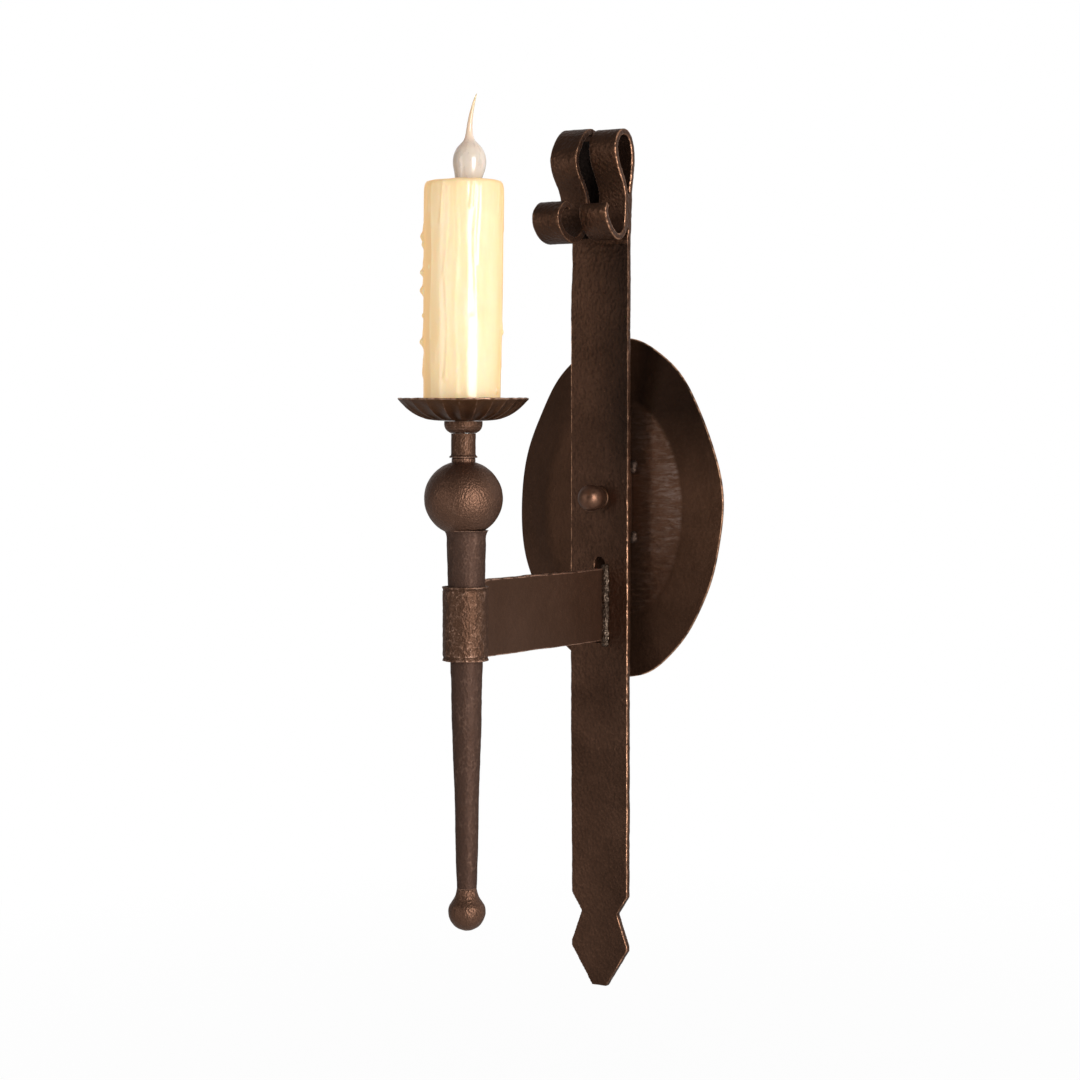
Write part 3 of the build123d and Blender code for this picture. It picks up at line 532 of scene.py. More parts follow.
# ---------------------------------------------------------------- materials
def iron(name, dark, mid, warm=(0.135, 0.066, 0.040), copper=(0.98, 0.60, 0.43), rub=0.35,
         rough=0.50, edge_wear=1.0, stretch=None, peen=0.0, peen_size=1.5, glint=0.0,
         painted_glare=False):
    """Dark iron rubbed to copper on its arrises and ridges. rub: wear on ridges.
    peen: bump of fine hammer marks peen_size mm wide. glint: wear between those marks."""
    material, net, bsdf = new_material(name)
    broad = net.noise(38, detail=5)
    medium = net.noise(210, stretch=stretch)
    fine = net.noise(900, detail=3, stretch=stretch)
    colour = net.mix(net.ramp(broad, (0.34, 0.0), (0.66, 1.0)), dark, mid)
    flecks = net.mul(net.ramp(fine, (0.45, 0.0), (0.72, 1.0)), 0.35)
    colour = net.mix(flecks, colour, warm)
    pits = net.mul(net.attribute("pit"), 0.4, clamp=True)
    colour = net.mix(pits, colour, tuple(part * 0.5 for part in dark))
    # painted shade: the colour is darkened by the stored shading value, and lightened as a painted
    # highlight where that value is negative
    light = net.sub(1.0, net.attribute("shade"))
    colour = net.mix(1.0, colour, light, blend="MULTIPLY")
    # painted glare: grey strokes of painted highlight mixed over the colour where a piece asks for
    # them
    if painted_glare:
        strokes = net.noise(620, detail=5, rough=0.62, stretch=(0.24, 1, 1), distortion=0.4)
        strokes = net.ramp(strokes, (0.44, 0.12), (0.64, 1.0))
        colour = net.mix(net.mul(net.attribute("painted_glare"), strokes), colour, (0.30, 0.215, 0.180))

    # copper shows where the arrises and the ridges between blows are rubbed
    edge, ridge = net.attribute("edge"), net.attribute("ridge")
    chips = net.ramp(net.noise(240, detail=5, rough=0.7), (0.40, 0.06), (0.56, 1.0))
    edge_rub = net.mul(net.ramp(edge, (0.34, 0.0), (0.72, 1.0)), chips)
    edge_rub = net.mul(edge_rub, edge_wear, clamp=True)
    ridge_rub = net.mul(net.ramp(ridge, (0.25, 0.0), (0.9, 1.0)),
                        net.ramp(medium, (0.40, 0.0), (0.66, 1.0)))
    ridge_rub = net.mul(ridge_rub, rub, clamp=True)
    wear = net.math("MAXIMUM", edge_rub, ridge_rub)
    if peen:
        marks = net.node("ShaderNodeTexVoronoi", {
            "Scale": 1000.0 / peen_size, "Vector": net.scaled(net.position(), (1, 1, 0.75))})
        marks = net.mul(marks.outputs["Distance"], net.attribute("worked"))
        if glint:
            rims = net.mul(net.ramp(marks, (0.48, 0.0), (0.80, 1.0)),
                           net.ramp(medium, (0.46, 0.0), (0.62, 1.0)))
            wear = net.math("MAXIMUM", wear, net.mul(rims, glint, clamp=True))

    roughness = net.add(net.mul(fine, 0.22), rough - 0.11)
    normal = net.bump(medium, strength=0.30, distance=0.0005)
    if peen:
        normal = net.bump(marks, strength=peen, distance=0.0005, normal=normal)
    net.fill(bsdf, {
        "Base Color": net.mix(wear, colour, copper),
        "Metallic": net.add(net.mul(wear, 0.12), 0.86, clamp=True),
        "Roughness": net.sub(roughness, net.mul(wear, 0.14), clamp=True),
        "Normal": net.bump(fine, strength=0.35, distance=0.00025, normal=normal),
    })
    return material


def plain(name, colour, other, rough, metallic, scale, bump, stretch=None):
    """Two shades of one colour, mixed by a fine grain."""
    material, net, bsdf = new_material(name)
    grain = net.noise(scale, stretch=stretch)
    net.fill(bsdf, {
        "Base Color": net.mix(net.ramp(grain, (0.3, 0.0), (0.7, 1.0)), colour, other),
        "Roughness": net.add(net.mul(grain, 0.2), rough - 0.1, clamp=True),
        "Metallic": metallic,
        "Normal": net.bump(grain, strength=bump, distance=0.0003),
    })
    return material


def wax_material():
    material, net, bsdf = new_material("wax")
    position = net.position()
    z = net.node("ShaderNodeSeparateXYZ", {0: position}).outputs["Z"]
    height = net.fraction(z, start=0.039, length=0.103)  # metres, foot to rim
    streak = net.noise(130, detail=5, stretch=(1, 1, 0.16))
    cloud = net.noise(55, stretch=(1, 1, 0.5))
    colour = net.mix(net.ramp(streak, (0.34, 0.0), (0.68, 1.0)),
                     (0.86, 0.67, 0.38), (0.90, 0.75, 0.49))
    clouds = net.mul(net.ramp(cloud, (0.42, 0.0), (0.70, 1.0)), 0.6)
    colour = net.mix(clouds, colour, (0.93, 0.80, 0.57))
    pits = net.mul(net.attribute("pit"), 0.45, clamp=True)
    colour = net.mix(pits, colour, (0.70, 0.46, 0.20))
    # darker towards the foot and the rim; the darker, more orange limb, where the skin turns away,
    # is painted shade
    foot = net.ramp(height, (0.0, 0.55), (0.10, 0.12), (0.5, 0.0))
    colour = net.mix(foot, colour, (0.80, 0.52, 0.22))
    facing = net.node("ShaderNodeLayerWeight", {"Blend": 0.5}).outputs["Facing"]
    limb = net.ramp(facing, (0.16, 0.0), (0.43, 0.38), (0.70, 1.0))
    rim = net.ramp(height, (0.84, 0.0), (1.0, 0.40))
    colour = net.mix(rim, colour, (0.82, 0.55, 0.25))
    # painted glow: the wax gets emission all over, more at the limb and on the side away from the
    # key, in place of light soaking through it
    across = net.node("ShaderNodeVectorMath", {
        0: position, 1: (-VIEW_RIGHT[0], -VIEW_RIGHT[1], 0.0)}, operation="DOT_PRODUCT")
    away = net.fraction(across.outputs["Value"], start=0.0728, length=0.0174)
    glow = net.add(0.25, net.mul(limb, 0.12))
    net.fill(bsdf, {
        "Base Color": net.mix(limb, colour, (0.80, 0.50, 0.20)),
        "Subsurface Weight": 0.65,
        "Subsurface Radius": (1.0, 0.55, 0.22),
        "Subsurface Scale": 0.004,
        "Roughness": net.add(net.mul(streak, 0.25), 0.22, clamp=True),
        "Coat Weight": net.sub(1.0, net.mul(limb, 0.85)),
        "Coat Roughness": 0.16,
        "Emission Color": net.mix(limb, (1.0, 0.75, 0.43), (1.0, 0.60, 0.24)),
        "Emission Strength": net.add(glow, net.mul(away, 0.13)),
        "Normal": net.bump(streak, strength=0.35, distance=0.0004),
    })
    return material


def silicone_material():
    material, net, bsdf = new_material("silicone_coat")
    z = net.node("ShaderNodeSeparateXYZ", {0: net.position()}).outputs["Z"]
    height = net.fraction(z, start=0.158, length=0.022)  # metres, the drawn-out tip
    cloud = net.noise(170, stretch=(1, 1, 0.5))
    body = net.mix(net.ramp(cloud, (0.30, 0.0), (0.74, 1.0)),
                   (0.80, 0.62, 0.50), (0.89, 0.73, 0.62))
    tip = net.ramp(height, (0.0, 0.0), (0.35, 0.35), (1.0, 1.0))
    net.fill(bsdf, {
        "Base Color": net.mix(tip, body, (0.86, 0.56, 0.26)),
        "Transmission Weight": 0.08,
        # painted glow: a faint emission that only brightens the coat, with the lamp itself unlit
        "Emission Color": (1.0, 0.76, 0.60),
        "Emission Strength": 0.13,
        "Coat IOR": 1.9,
        "IOR": 1.41,
        "Subsurface Weight": 0.6,
        "Subsurface Radius": (1.0, 0.7, 0.5),
        "Subsurface Scale": 0.003,
        "Roughness": net.add(net.mul(cloud, 0.2), 0.18, clamp=True),
        "Coat Weight": 0.7,
        "Coat Roughness": 0.06,
        "Normal": net.bump(cloud, strength=0.04, distance=0.0003),
    })
    return material


IRON = iron(
    "iron_strap", dark=(0.062, 0.028, 0.0150), mid=(0.112, 0.054, 0.0315),
    copper=(0.86, 0.45, 0.27), rough=0.46, peen=0.60, peen_size=1.5)
IRON_PAN = iron(
    "iron_pan", dark=(0.072, 0.032, 0.016), mid=(0.104, 0.048, 0.026),
    copper=(0.95, 0.54, 0.33), rub=0.16, peen=0.16, peen_size=1.8, painted_glare=True)
IRON_BALL = iron(
    "iron_ball", dark=(0.140, 0.070, 0.043), mid=(0.155, 0.078, 0.048),
    warm=(0.20, 0.105, 0.068), rub=0.30, rough=0.45, stretch=(1, 1, 0.35), peen=0.42,
    peen_size=0.80, glint=0.06)
IRON_BAND = iron(
    "iron_band", dark=(0.104, 0.050, 0.028), mid=(0.124, 0.061, 0.036), rub=0.75,
    rough=0.52, peen=0.46, peen_size=0.95, glint=0.14)
IRON_SHAFT = iron(
    "iron_shaft", dark=(0.096, 0.052, 0.037), mid=(0.108, 0.060, 0.043), rub=0.22,
    rough=0.66, stretch=(1, 1, 0.5), peen=0.35, peen_size=1.2, glint=0.08)
IRON_DISH = iron(
    "iron_dish", dark=(0.078, 0.032, 0.012), mid=(0.104, 0.044, 0.018),
    warm=(0.16, 0.072, 0.036), rub=0.30, rough=0.42, edge_wear=0.6)
IRON_KNOB = iron(
    "iron_knob", dark=(0.15, 0.074, 0.045), mid=(0.19, 0.095, 0.058),
    warm=(0.27, 0.135, 0.085), rub=0.3, rough=0.38)
WELD = iron(
    "weld", dark=(0.050, 0.032, 0.021), mid=(0.085, 0.056, 0.039),
    warm=(0.13, 0.086, 0.060), copper=(0.62, 0.45, 0.34), rub=0.70, rough=0.46,
    edge_wear=0.15, peen=0.7, peen_size=0.8, glint=0.34)
TACK = iron(
    "tack_weld", dark=(0.045, 0.027, 0.019), mid=(0.070, 0.044, 0.032),
    warm=(0.11, 0.068, 0.050), rub=0.2, rough=0.6, edge_wear=0.1)

# colour, other shade, roughness, metallic, grain scale, bump strength, grain stretch
PLAIN = {
    "zinc_steel": ((0.50, 0.50, 0.48), (0.66, 0.65, 0.60), 0.34, 1.0, 260, 0.1),
    "brass": ((0.70, 0.47, 0.17), (0.80, 0.58, 0.26), 0.28, 1.0, 240, 0.08),
    "bare_copper": ((0.62, 0.28, 0.15), (0.72, 0.36, 0.22), 0.32, 1.0, 400, 0.1),
    "phenolic": ((0.014, 0.012, 0.011), (0.030, 0.025, 0.022), 0.35, 0.0, 500, 0.12),
    "card_tube": ((0.62, 0.52, 0.36), (0.74, 0.65, 0.48), 0.85, 0.0, 700, 0.5, (1, 1, 0.15)),
    "lead_black": ((0.010, 0.010, 0.011), (0.022, 0.022, 0.024), 0.42, 0.0, 900, 0.2),
    "lead_white": ((0.72, 0.71, 0.66), (0.80, 0.79, 0.75), 0.42, 0.0, 900, 0.2),
    "rubber": ((0.012, 0.012, 0.012), (0.026, 0.025, 0.024), 0.7, 0.0, 900, 0.4),
    "vitrite": ((0.016, 0.010, 0.020), (0.035, 0.025, 0.045), 0.18, 0.0, 500, 0.1),
    "filament": ((0.22, 0.21, 0.20), (0.34, 0.33, 0.32), 0.4, 1.0, 900, 0.1),
    "lamp_glass": ((0.93, 0.95, 0.95), (0.98, 0.98, 0.98), 0.10, 0.0, 200, 0.02),
}
MATERIALS = {name: plain(name, *row) for name, row in PLAIN.items()}
GLASS = MATERIALS["lamp_glass"]
glass_inputs = GLASS.node_tree.nodes["Principled BSDF"].inputs
glass_inputs["Transmission Weight"].default_value = 1.0
glass_inputs["IOR"].default_value = 1.46
WAX = wax_material()
SILICONE = silicone_material()

# ---------------------------------------------------------------- back strap
# Centre lines of the scrolls: (depth behind the strap's front face, height z)
REAR = [(1.6, 106.0), (1.6, 112.0), (1.7, 120.0), (2.3, 130.0), (2.8, 138.0), (3.1, 146.0)]
RIGHT = REAR + [
    (4.1, 152.0), (5.1, 158.5), (5.0, 164.6), (3.4, 169.8), (0.2, 173.0), (-3.6, 173.4),
    (-7.2, 171.6), (-9.6, 168.0), (-9.9, 163.6), (-8.4, 158.8), (-5.6, 153.8), (-2.6, 149.2),
    (-0.9, 144.6), (-0.5, 139.5), (-0.75, 134.0), (-1.9, 128.2), (-5.0, 124.4), (-9.2, 123.9),
    (-13.2, 126.0), (-16.6, 129.4), (-18.7, 133.0), (-18.8, 136.0), (-17.4, 138.4),
]
LEFT = REAR + [
    (3.8, 152.0), (4.4, 158.5), (3.8, 164.8), (1.5, 170.2), (-2.4, 173.6), (-7.0, 173.9),
    (-11.8, 171.2), (-15.4, 166.8), (-17.8, 162.4), (-18.1, 158.4), (-16.4, 154.0),
    (-13.1, 149.6), (-10.0, 145.2), (-8.4, 140.6), (-8.6, 135.6), (-10.3, 129.6),
    (-13.9, 124.8), (-18.9, 122.0), (-24.9, 122.4), (-30.2, 125.2), (-33.4, 129.2),
    (-33.7, 132.9), (-31.8, 135.9), (-29.5, 137.7), (-27.2, 138.4), (-25.2, 137.9),
    (-24.0, 136.6),
]
# Left side of the bar, top to bottom: (x, z)
BAR_SIDE = [
    (-STRAP_HALF, SPLIT_Z), (-STRAP_HALF, -192.3), (-10.1, -200.9),
    (-STRAP_HALF + 0.1, -216.2), (-STRAP_HALF + 0.1, -218.4), (-4.0, -236.6),
]
SLOT_R, SLOT_TOP, SLOT_BOTTOM = 2.65, -31.3, -69.9
STUD_HOLE_R = 2.3


def scroll(name, run, x0, x1):
    """One half of the split strap, curled along run, from x0 to x1."""
    centre = catmull([(STRAP_FRONT + depth, z) for depth, z in run], step=0.5)
    along = np.gradient(centre, axis=0)
    along /= np.linalg.norm(along, axis=1)[:, None]
    across = columns(-along[:, 1], along[:, 0])
    share = np.linspace(0, 1, len(centre))
    # the curl thickens towards its end and thins again at the tip
    thick = SCROLL_T * (1 + 0.10 * unit((share - 0.70) / 0.1) - 0.14 * unit((share - 0.93) / 0.07))
    one_face = centre + across * thick[:, None] / 2
    other_face = centre - across * thick[:, None] / 2
    corners = ((x0, one_face), (x1, one_face), (x1, other_face), (x0, other_face))
    count = len(centre)
    points = [(x, *face[i]) for i in range(count) for x, face in corners]
    faces = grid_faces(count, 4, close_cols=True)
    faces += [(0, 1, 2, 3), tuple(4 * (count - 1) + k for k in (3, 2, 1, 0))]
    return face_outward(new_object(name, points, faces))


def back_strap():
    outline = BAR_SIDE + [(-x, z) for x, z in reversed(BAR_SIDE)]
    slot = [(SLOT_R, SLOT_BOTTOM), (SLOT_R, SLOT_TOP)]
    slot += arc(SLOT_R, np.linspace(0.2, PI - 0.2, 14), centre=(0, SLOT_TOP))
    slot += [(-SLOT_R, SLOT_TOP), (-SLOT_R, SLOT_BOTTOM)]
    stud_hole = arc(STUD_HOLE_R, turn(28))
    strap = join("back_strap_forged", [
        prism("strap_bar", [outline, slot, stud_hole], STRAP_FRONT, STRAP_BACK, "xz"),
        scroll("s_l", LEFT, -STRAP_HALF, -KERF / 2),
        scroll("s_r", RIGHT, KERF / 2, STRAP_HALF),
    ])
    remesh(strap, voxel=0.5)

    # hand-cut sides wander, the left one is drawn in, and the face is a little uneven
    points = get_points(strap)
    x, y, z = points.T
    side = np.sign(x)
    wander = 0.22 * fbm(columns(side * 40, y * 0.2, z), size=11.0, seed=3)
    wander += 0.10 * fbm(columns(side * 40, y * 0.6, z), size=3.2, seed=7, octaves=2)
    x += wander * unit((np.abs(x) - 8) / 8) * side
    x -= 0.65 * unit((z + 190) / 90) * unit((110 - z) / 20) * unit((-8 - x) / 7)
    y += 0.10 * value_noise(points * [1, 0, 1], size=22.0, seed=9)
    set_points(strap, points)
    forge(strap, blows=dict(cell=9.0, depth=0.08, seed=11, cover=0.72),
          flat=[dict(cell=(3.3, 3.9), depth=0.11, seed=31, cover=0.50),
                dict(cell=(1.9, 2.2), depth=0.055, seed=33, cover=0.45)],
          jitter=0.05, jitter_size=2.2)

    # painted shade: the parts of the scrolls behind the face, darkest between the loops, and a
    # painted soft shadow on the bar's face, deepening towards the right and upwards
    x, y, z = get_points(strap).T
    normal_y = get_normals(strap)[:, 1]
    behind = (z > 124) * (y > STRAP_FRONT - 0.4) * (normal_y < -0.3)
    behind = behind * np.where(x < 0, 0.88, 0.40)
    face = 0.70 * unit((x + 8) / 21) ** 1.1 * (0.24 + 0.76 * unit((z + 30) / 60))
    face = face * (normal_y < -0.6) * (z < 121)
    put_attribute(strap, "shade", np.clip(np.maximum(behind, face), 0, 0.9))

    # edge wear: the left arris gets the most copper and the right arris a little more below z 0;
    # above z 15 the right arris loses copper, which is painted shade matching the face's painted
    # shadow
    edge = np.empty(len(x), dtype=np.float32)
    strap.data.attributes["edge"].data.foreach_get("value", edge)
    left_arris = (x < -14.3) * (y < STRAP_FRONT + 1.2) * (np.abs(z - 10) < 75)
    right_arris = (x > 9.8) * (y < STRAP_FRONT + 0.9) * (z < 122)
    right_scroll = (z > 121) * (x > -1.5)
    gain = (1 + 1.9 * left_arris + 0.5 * right_arris * (z < 0)
            - 0.30 * right_arris * (z > 15) + 0.1 * right_scroll)
    put_attribute(strap, "edge", unit(edge * gain))
    dress(strap, IRON, "back_strap")


# ---------------------------------------------------------------- oval pan
PAN_SIDES, PAN_RINGS = 440, 132
PAN_T = 1.4
WALL_GAP = -0.02  # the pan's back stays in front of this y
# The rim wanders off a true oval. Harmonic: (cosine, sine) share of the radius
RIM = {
    1: (-0.0027, -0.0040), 2: (-0.0034, 0.0008), 3: (-0.0012, -0.0015),
    4: (0.0104, -0.0010), 5: (0.0021, -0.0004), 6: (0.0030, 0.0011), 8: (0.0013, 0.0017),
    9: (0.0019, 0.0011), 10: (-0.0022, 0.0024), 11: (0.0022, 0.0), 12: (-0.0016, -0.0009),
    13: (0.0, 0.0012), 14: (0.0015, 0.0008),
}


def pan_skin(offset, share):
    """Grid of the pan's front pushed back by offset; share is the radius from 0 to 1."""
    angle = turn(PAN_SIDES)[:, None]
    wave = 0.9885 + sum(a * np.cos(k * angle) + b * np.sin(k * angle)
                        for k, (a, b) in RIM.items())
    wave = 1 + (wave - 1) * share ** 3
    # straight flange up to the plateau, with the corner between them rounded
    climb = (1 - share) / (1 - PLATEAU)
    rise = np.where(climb < 1, climb, 1.0)
    rise = np.where(np.abs(climb - 1) < 0.16, 1 - (1.16 - climb) ** 2 / 0.64, rise)
    rim_lift = 0.35 * np.sin(5 * angle + 1.2) * unit((share - 0.75) / 0.25) ** 2
    dome = 0.35 * unit(1 - (share / PLATEAU) ** 2)
    return np.stack([
        OVAL_RX * share * wave * np.cos(angle),
        -1.45 - (-PAN_FRONT - 1.85) * rise - dome + rim_lift + offset,
        OVAL_Z + OVAL_RZ * share * wave * np.sin(angle)], -1)


def hole_cutter(radius, z):
    ring = arc(radius, turn(40), centre=(0, z))
    count = len(ring)
    points = [(x, y, height) for y in (-30, 10) for x, height in ring]
    faces = [(i, (i + 1) % count, count + (i + 1) % count, count + i) for i in range(count)]
    faces += [tuple(range(count))[::-1], tuple(range(count, 2 * count))]
    return face_outward(new_object("cutter", points, faces))


def oval_pan():
    shares = np.concatenate([np.linspace(0.012, 0.97, PAN_RINGS - 6), np.linspace(0.976, 1.0, 6)])
    front = pan_skin(0.0, shares)
    back = pan_skin(PAN_T, shares)
    front[:, -1, 1] += 0.35
    back[:, -1, 1] -= 0.35
    front = front.reshape(-1, 3)
    back = back.reshape(-1, 3)
    back[:, 1] = np.minimum(back[:, 1], WALL_GAP)

    # short horizontal blows on the plateau, stronger on its right; softer ones on the flange
    x, y, z = front.T
    share = np.tile(shares, PAN_SIDES)
    plateau = unit((PLATEAU + 0.02 - share) / 0.05)
    strokes = (0.35 + 0.65 * unit((x + 4) / 8)) * (
        dents(x + 0.3 * z, z, cell=(6.0, 2.6), depth=0.20, seed=51, cover=0.45)
        + dents(x, z - 0.2 * x, cell=(3.0, 1.3), depth=0.08, seed=53, cover=0.45)
        + 0.13 * fbm(front * [0.4, 1, 1.5], size=2.2, seed=61))
    soft = (bowls(front, cell=9.0, depth=0.16, seed=71, cover=0.8)
            + 0.06 * fbm(front, size=3.0, seed=81, octaves=2))
    relief = (strokes * plateau + soft * (1 - plateau)) * unit((1 - share) / 0.02)
    y -= relief
    back[:, 1] -= relief * 0.6
    back[:, 1] = np.minimum(back[:, 1], WALL_GAP)

    count = PAN_SIDES * PAN_RINGS
    hubs = [[0, front[0, 1], OVAL_Z], [0, back[0, 1], OVAL_Z]]
    faces = grid_faces(PAN_SIDES, PAN_RINGS, close_rows=True)
    faces += grid_faces(PAN_SIDES, PAN_RINGS, close_rows=True, start=count, flip=True)
    for i in range(PAN_SIDES):
        here = i * PAN_RINGS
        after = (i + 1) % PAN_SIDES * PAN_RINGS
        rim, rim_after = here + PAN_RINGS - 1, after + PAN_RINGS - 1
        faces.append((rim, rim_after, count + rim_after, count + rim))
        faces.append((here, 2 * count, after))
        faces.append((count + here, count + after, 2 * count + 1))
    pan = face_outward(new_object("oval_pan", np.vstack([front, back, hubs]), faces))
    cut(pan, [hole_cutter(2.6, z=0), hole_cutter(5.0, z=-50)])
    forge(pan, edge_gain=5.0)

    # painted shade darkens the right flange, most towards its top; the right of the plateau gets a
    # painted highlight, painted shade near its top, and painted glare in broken strokes
    x, y, z = get_points(pan).T
    share = np.hypot(x / OVAL_RX, (z - OVAL_Z) / OVAL_RZ)
    right = unit((x - 6) / 10) * (get_normals(pan)[:, 1] < 0)
    plateau = unit((PLATEAU + 0.015 - share) / 0.03)
    dark = 0.10 + 0.62 * unit((z - 2) / 40) + 0.16 * unit((-24 - z) / 40)
    dark = right * dark * (1 - plateau)
    # painted highlight on the right of the plateau, turning to painted shade above z 22
    glow = 0.22 * unit((share - 0.20) / 0.35) * bell((z + 4) / 40) - 0.25 * unit((z - 22) / 20)
    put_attribute(pan, "shade", np.clip(dark - right * plateau * glow, -1.6, 0.9))
    # painted glare: broken grey strokes of painted highlight on the right of the plateau
    strokes = fbm(columns(x * 0.36 + 0.22 * z, x * 0, z - 0.12 * x), size=2.0, seed=77)
    strokes = unit(0.42 + 1.9 * strokes) ** 2
    patch = 0.10 + unit((share - 0.26) / 0.30) * 0.55 * bell((z - 3) / 27)
    painted_glare = right * plateau * (0.55 + 0.6 * strokes) * patch
    put_attribute(pan, "painted_glare", np.clip(painted_glare, 0, 0.7))
    dress(pan, IRON_PAN, "backplate")


# ---------------------------------------------------------------- folded arm
ARM_END = STRAP_BACK + 0.7  # y of the leaves' rear ends
ARM_FILLET = 3.2
ARM_BORE = 7.95
ARM_GAP_HALF = 0.8  # half the slit between the two leaves


def arm_band():
    """One strip folded round the torch shaft: a collar with two leaves back to the strap."""
    reach = ARM_HALF + ARM_FILLET
    fillet_y = math.sqrt((COLLAR_R + ARM_FILLET) ** 2 - reach ** 2)
    fillet = arc(ARM_FILLET, np.linspace(PI, math.atan2(-fillet_y, -reach) + 2 * PI, 10),
                 centre=(reach, TORCH_Y + fillet_y))
    start = math.atan2(fillet_y, reach)
    collar = arc(COLLAR_R, np.linspace(start, PI - start - 2 * PI, 120), (0, TORCH_Y))[1:-1]
    gap = math.acos(ARM_GAP_HALF / ARM_BORE)
    bore = arc(ARM_BORE, np.linspace(PI - gap, 2 * PI + gap, 90), (0, TORCH_Y))
    outline = [(ARM_HALF, ARM_END)] + fillet + collar
    outline += [(-x, y) for x, y in reversed(fillet)] + [(-ARM_HALF, ARM_END)]
    outline += [(-ARM_GAP_HALF, ARM_END)] + bore + [(ARM_GAP_HALF, ARM_END)]
    arm = prism("arm_strip", [outline], ARM_BOTTOM, ARM_TOP, "xy")
    remesh(arm, voxel=0.36)

    # the bore is tapered to the shaft
    points = get_points(arm)
    x, y, z = points.T
    radius, angle = np.hypot(x, y - TORCH_Y), np.arctan2(y - TORCH_Y, x)
    inside = (radius < 8.6) & (y < TORCH_Y + 8.6)
    fit = np.where(inside, shaft_radius(z) + 0.06 - ARM_BORE, 0.0)
    x += fit * np.cos(angle)
    y += fit * np.sin(angle)
    # the collar flares at both ends, with a groove just inside each flare
    height = (z - ARM_BOTTOM) / (ARM_TOP - ARM_BOTTOM)
    on_collar = (radius > 9.2) & (y < TORCH_Y + 9.4)
    flare = 0.22 * (unit((height - 0.95) / 0.05) + unit((0.05 - height) / 0.05))
    flare -= 0.30 * (bell((height - 0.955) * 35 / 0.55) + bell((height - 0.045) * 35 / 0.55))
    flare *= on_collar
    x += flare * np.cos(angle)
    y += flare * np.sin(angle)
    # the leaves' long edges were sheared by hand
    leaf = unit((y - (TORCH_Y + 12)) / 10)
    wander = fbm(columns(y, y * 0, np.sign(height - 0.5) * 30), size=16, seed=6)
    z += leaf * 0.35 * wander * unit(np.abs(height - 0.5) * 2 - 0.6) / 0.4
    # the collar's top was dressed back a little below the leaves
    near = unit((TORCH_Y + 13.5 - y) / 4.0)
    z -= near * 1.9 * unit((height - 0.45) / 0.55)
    z += (1 - near) * (0.3 * unit((height - 0.5) / 0.5) + 0.6 * unit((0.5 - height) / 0.5))
    set_points(arm, points)

    # close-set blows round the collar, broad soft ones on the leaves, none in the bore or slit
    points = get_points(arm)
    normal = get_normals(arm)
    x, y, z = points.T
    radius = np.hypot(x, y - TORCH_Y)
    edge = unit(bend(arm, 3) * 8.0)
    collar = unit((TORCH_Y + 9.6 - y) / 1.5) * (radius > 9.0)
    across, up = unroll(points, COLLAR_R)
    close = (dents(across, up, cell=(2.2, 2.5), depth=0.26, seed=91, cover=0.24, sharp=0.8,
                   girth=2 * PI * COLLAR_R)
             + 0.05 * fbm(points, size=2.0, seed=97))
    broad = (bowls(points, cell=8.5, depth=0.14, seed=93, cover=0.75)
             + 0.05 * fbm(points, size=3.0, seed=95))
    inner = (radius < 8.8) | ((np.abs(x) < 1.0) & (y > TORCH_Y))
    offset = np.where(inner, 0, collar * close + (1 - collar) * broad)
    set_points(arm, points + normal * offset[:, None])
    relief = bend(arm, 2) * 34
    put_attribute(arm, "edge", unit(edge * (1 + 0.9 * (1 - collar))))
    put_attribute(arm, "worked", 0.12 + 0.88 * collar)
    put_attribute(arm, "ridge", unit(relief) * (1 - edge) * (0.25 + 0.75 * collar))
    put_attribute(arm, "pit", unit(-relief))

    # the collar end stands a little off line
    points = get_points(arm)
    shift = np.array([0.29, 0.19, 0.0])
    set_points(arm, points + shift * unit((TORCH_Y + 24 - points[:, 1]) / 14)[:, None])
    dress(arm, IRON_BAND, "arm_band")


# ---------------------------------------------------------------- weld beads
def blob(centre, radii):
    bm = bmesh.new()
    bmesh.ops.create_icosphere(bm, subdivisions=3, radius=1.0)
    points = np.array([tuple(vert.co) for vert in bm.verts]) * np.array(radii) + np.array(centre)
    faces = [tuple(vert.index for vert in face.verts) for face in bm.faces]
    bm.free()
    return new_object("blob", points, faces)


def welds():
    """Beads down both sides of the arm at the strap, then four tacks in front of the pan."""
    rng = np.random.default_rng(4)
    draw = rng.random
    beads = []
    for side, z, z_end in ((-1, ARM_BOTTOM + 2.2, ARM_TOP - 1.8),
                           (1, ARM_BOTTOM - 0.6, ARM_TOP + 1.6)):
        while z < z_end:
            radius = 1.35 + 0.25 * draw()
            x = side * (ARM_HALF + 0.75 + 0.35 * draw())
            y = STRAP_FRONT - 0.15 - 0.3 * draw()
            beads.append(blob((x, y, z), (radius * (1.25 + 0.3 * draw()), radius, radius * 1.1)))
            z += 0.9 + 0.3 * draw()
    weld = join("arm_weld", beads)
    remesh(weld, voxel=0.28)
    forge(weld, rings=2, edge_gain=8.0, jitter=0.22, jitter_size=1.2)
    dress(weld, WELD, "arm_weld_beads")

    drops = []
    for side, z, _ in product((-1, 1), (14.6, -19.2), range(5)):
        centre = (side * (11.9 + 0.7 * draw()), PAN_FRONT - 0.9 - 0.9 * draw(),
                  z + 2.6 * (draw() - 0.5))
        drops.append(blob(centre, (1.9, 1.5, 1.9)))
    tack = join("standoff_tacks", drops)
    remesh(tack, voxel=0.3, smooth_passes=2)
    forge(tack, rings=2, edge_gain=8.0, jitter=0.10, jitter_size=1.2)
    dress(tack, TACK, "standoff_tack_welds")


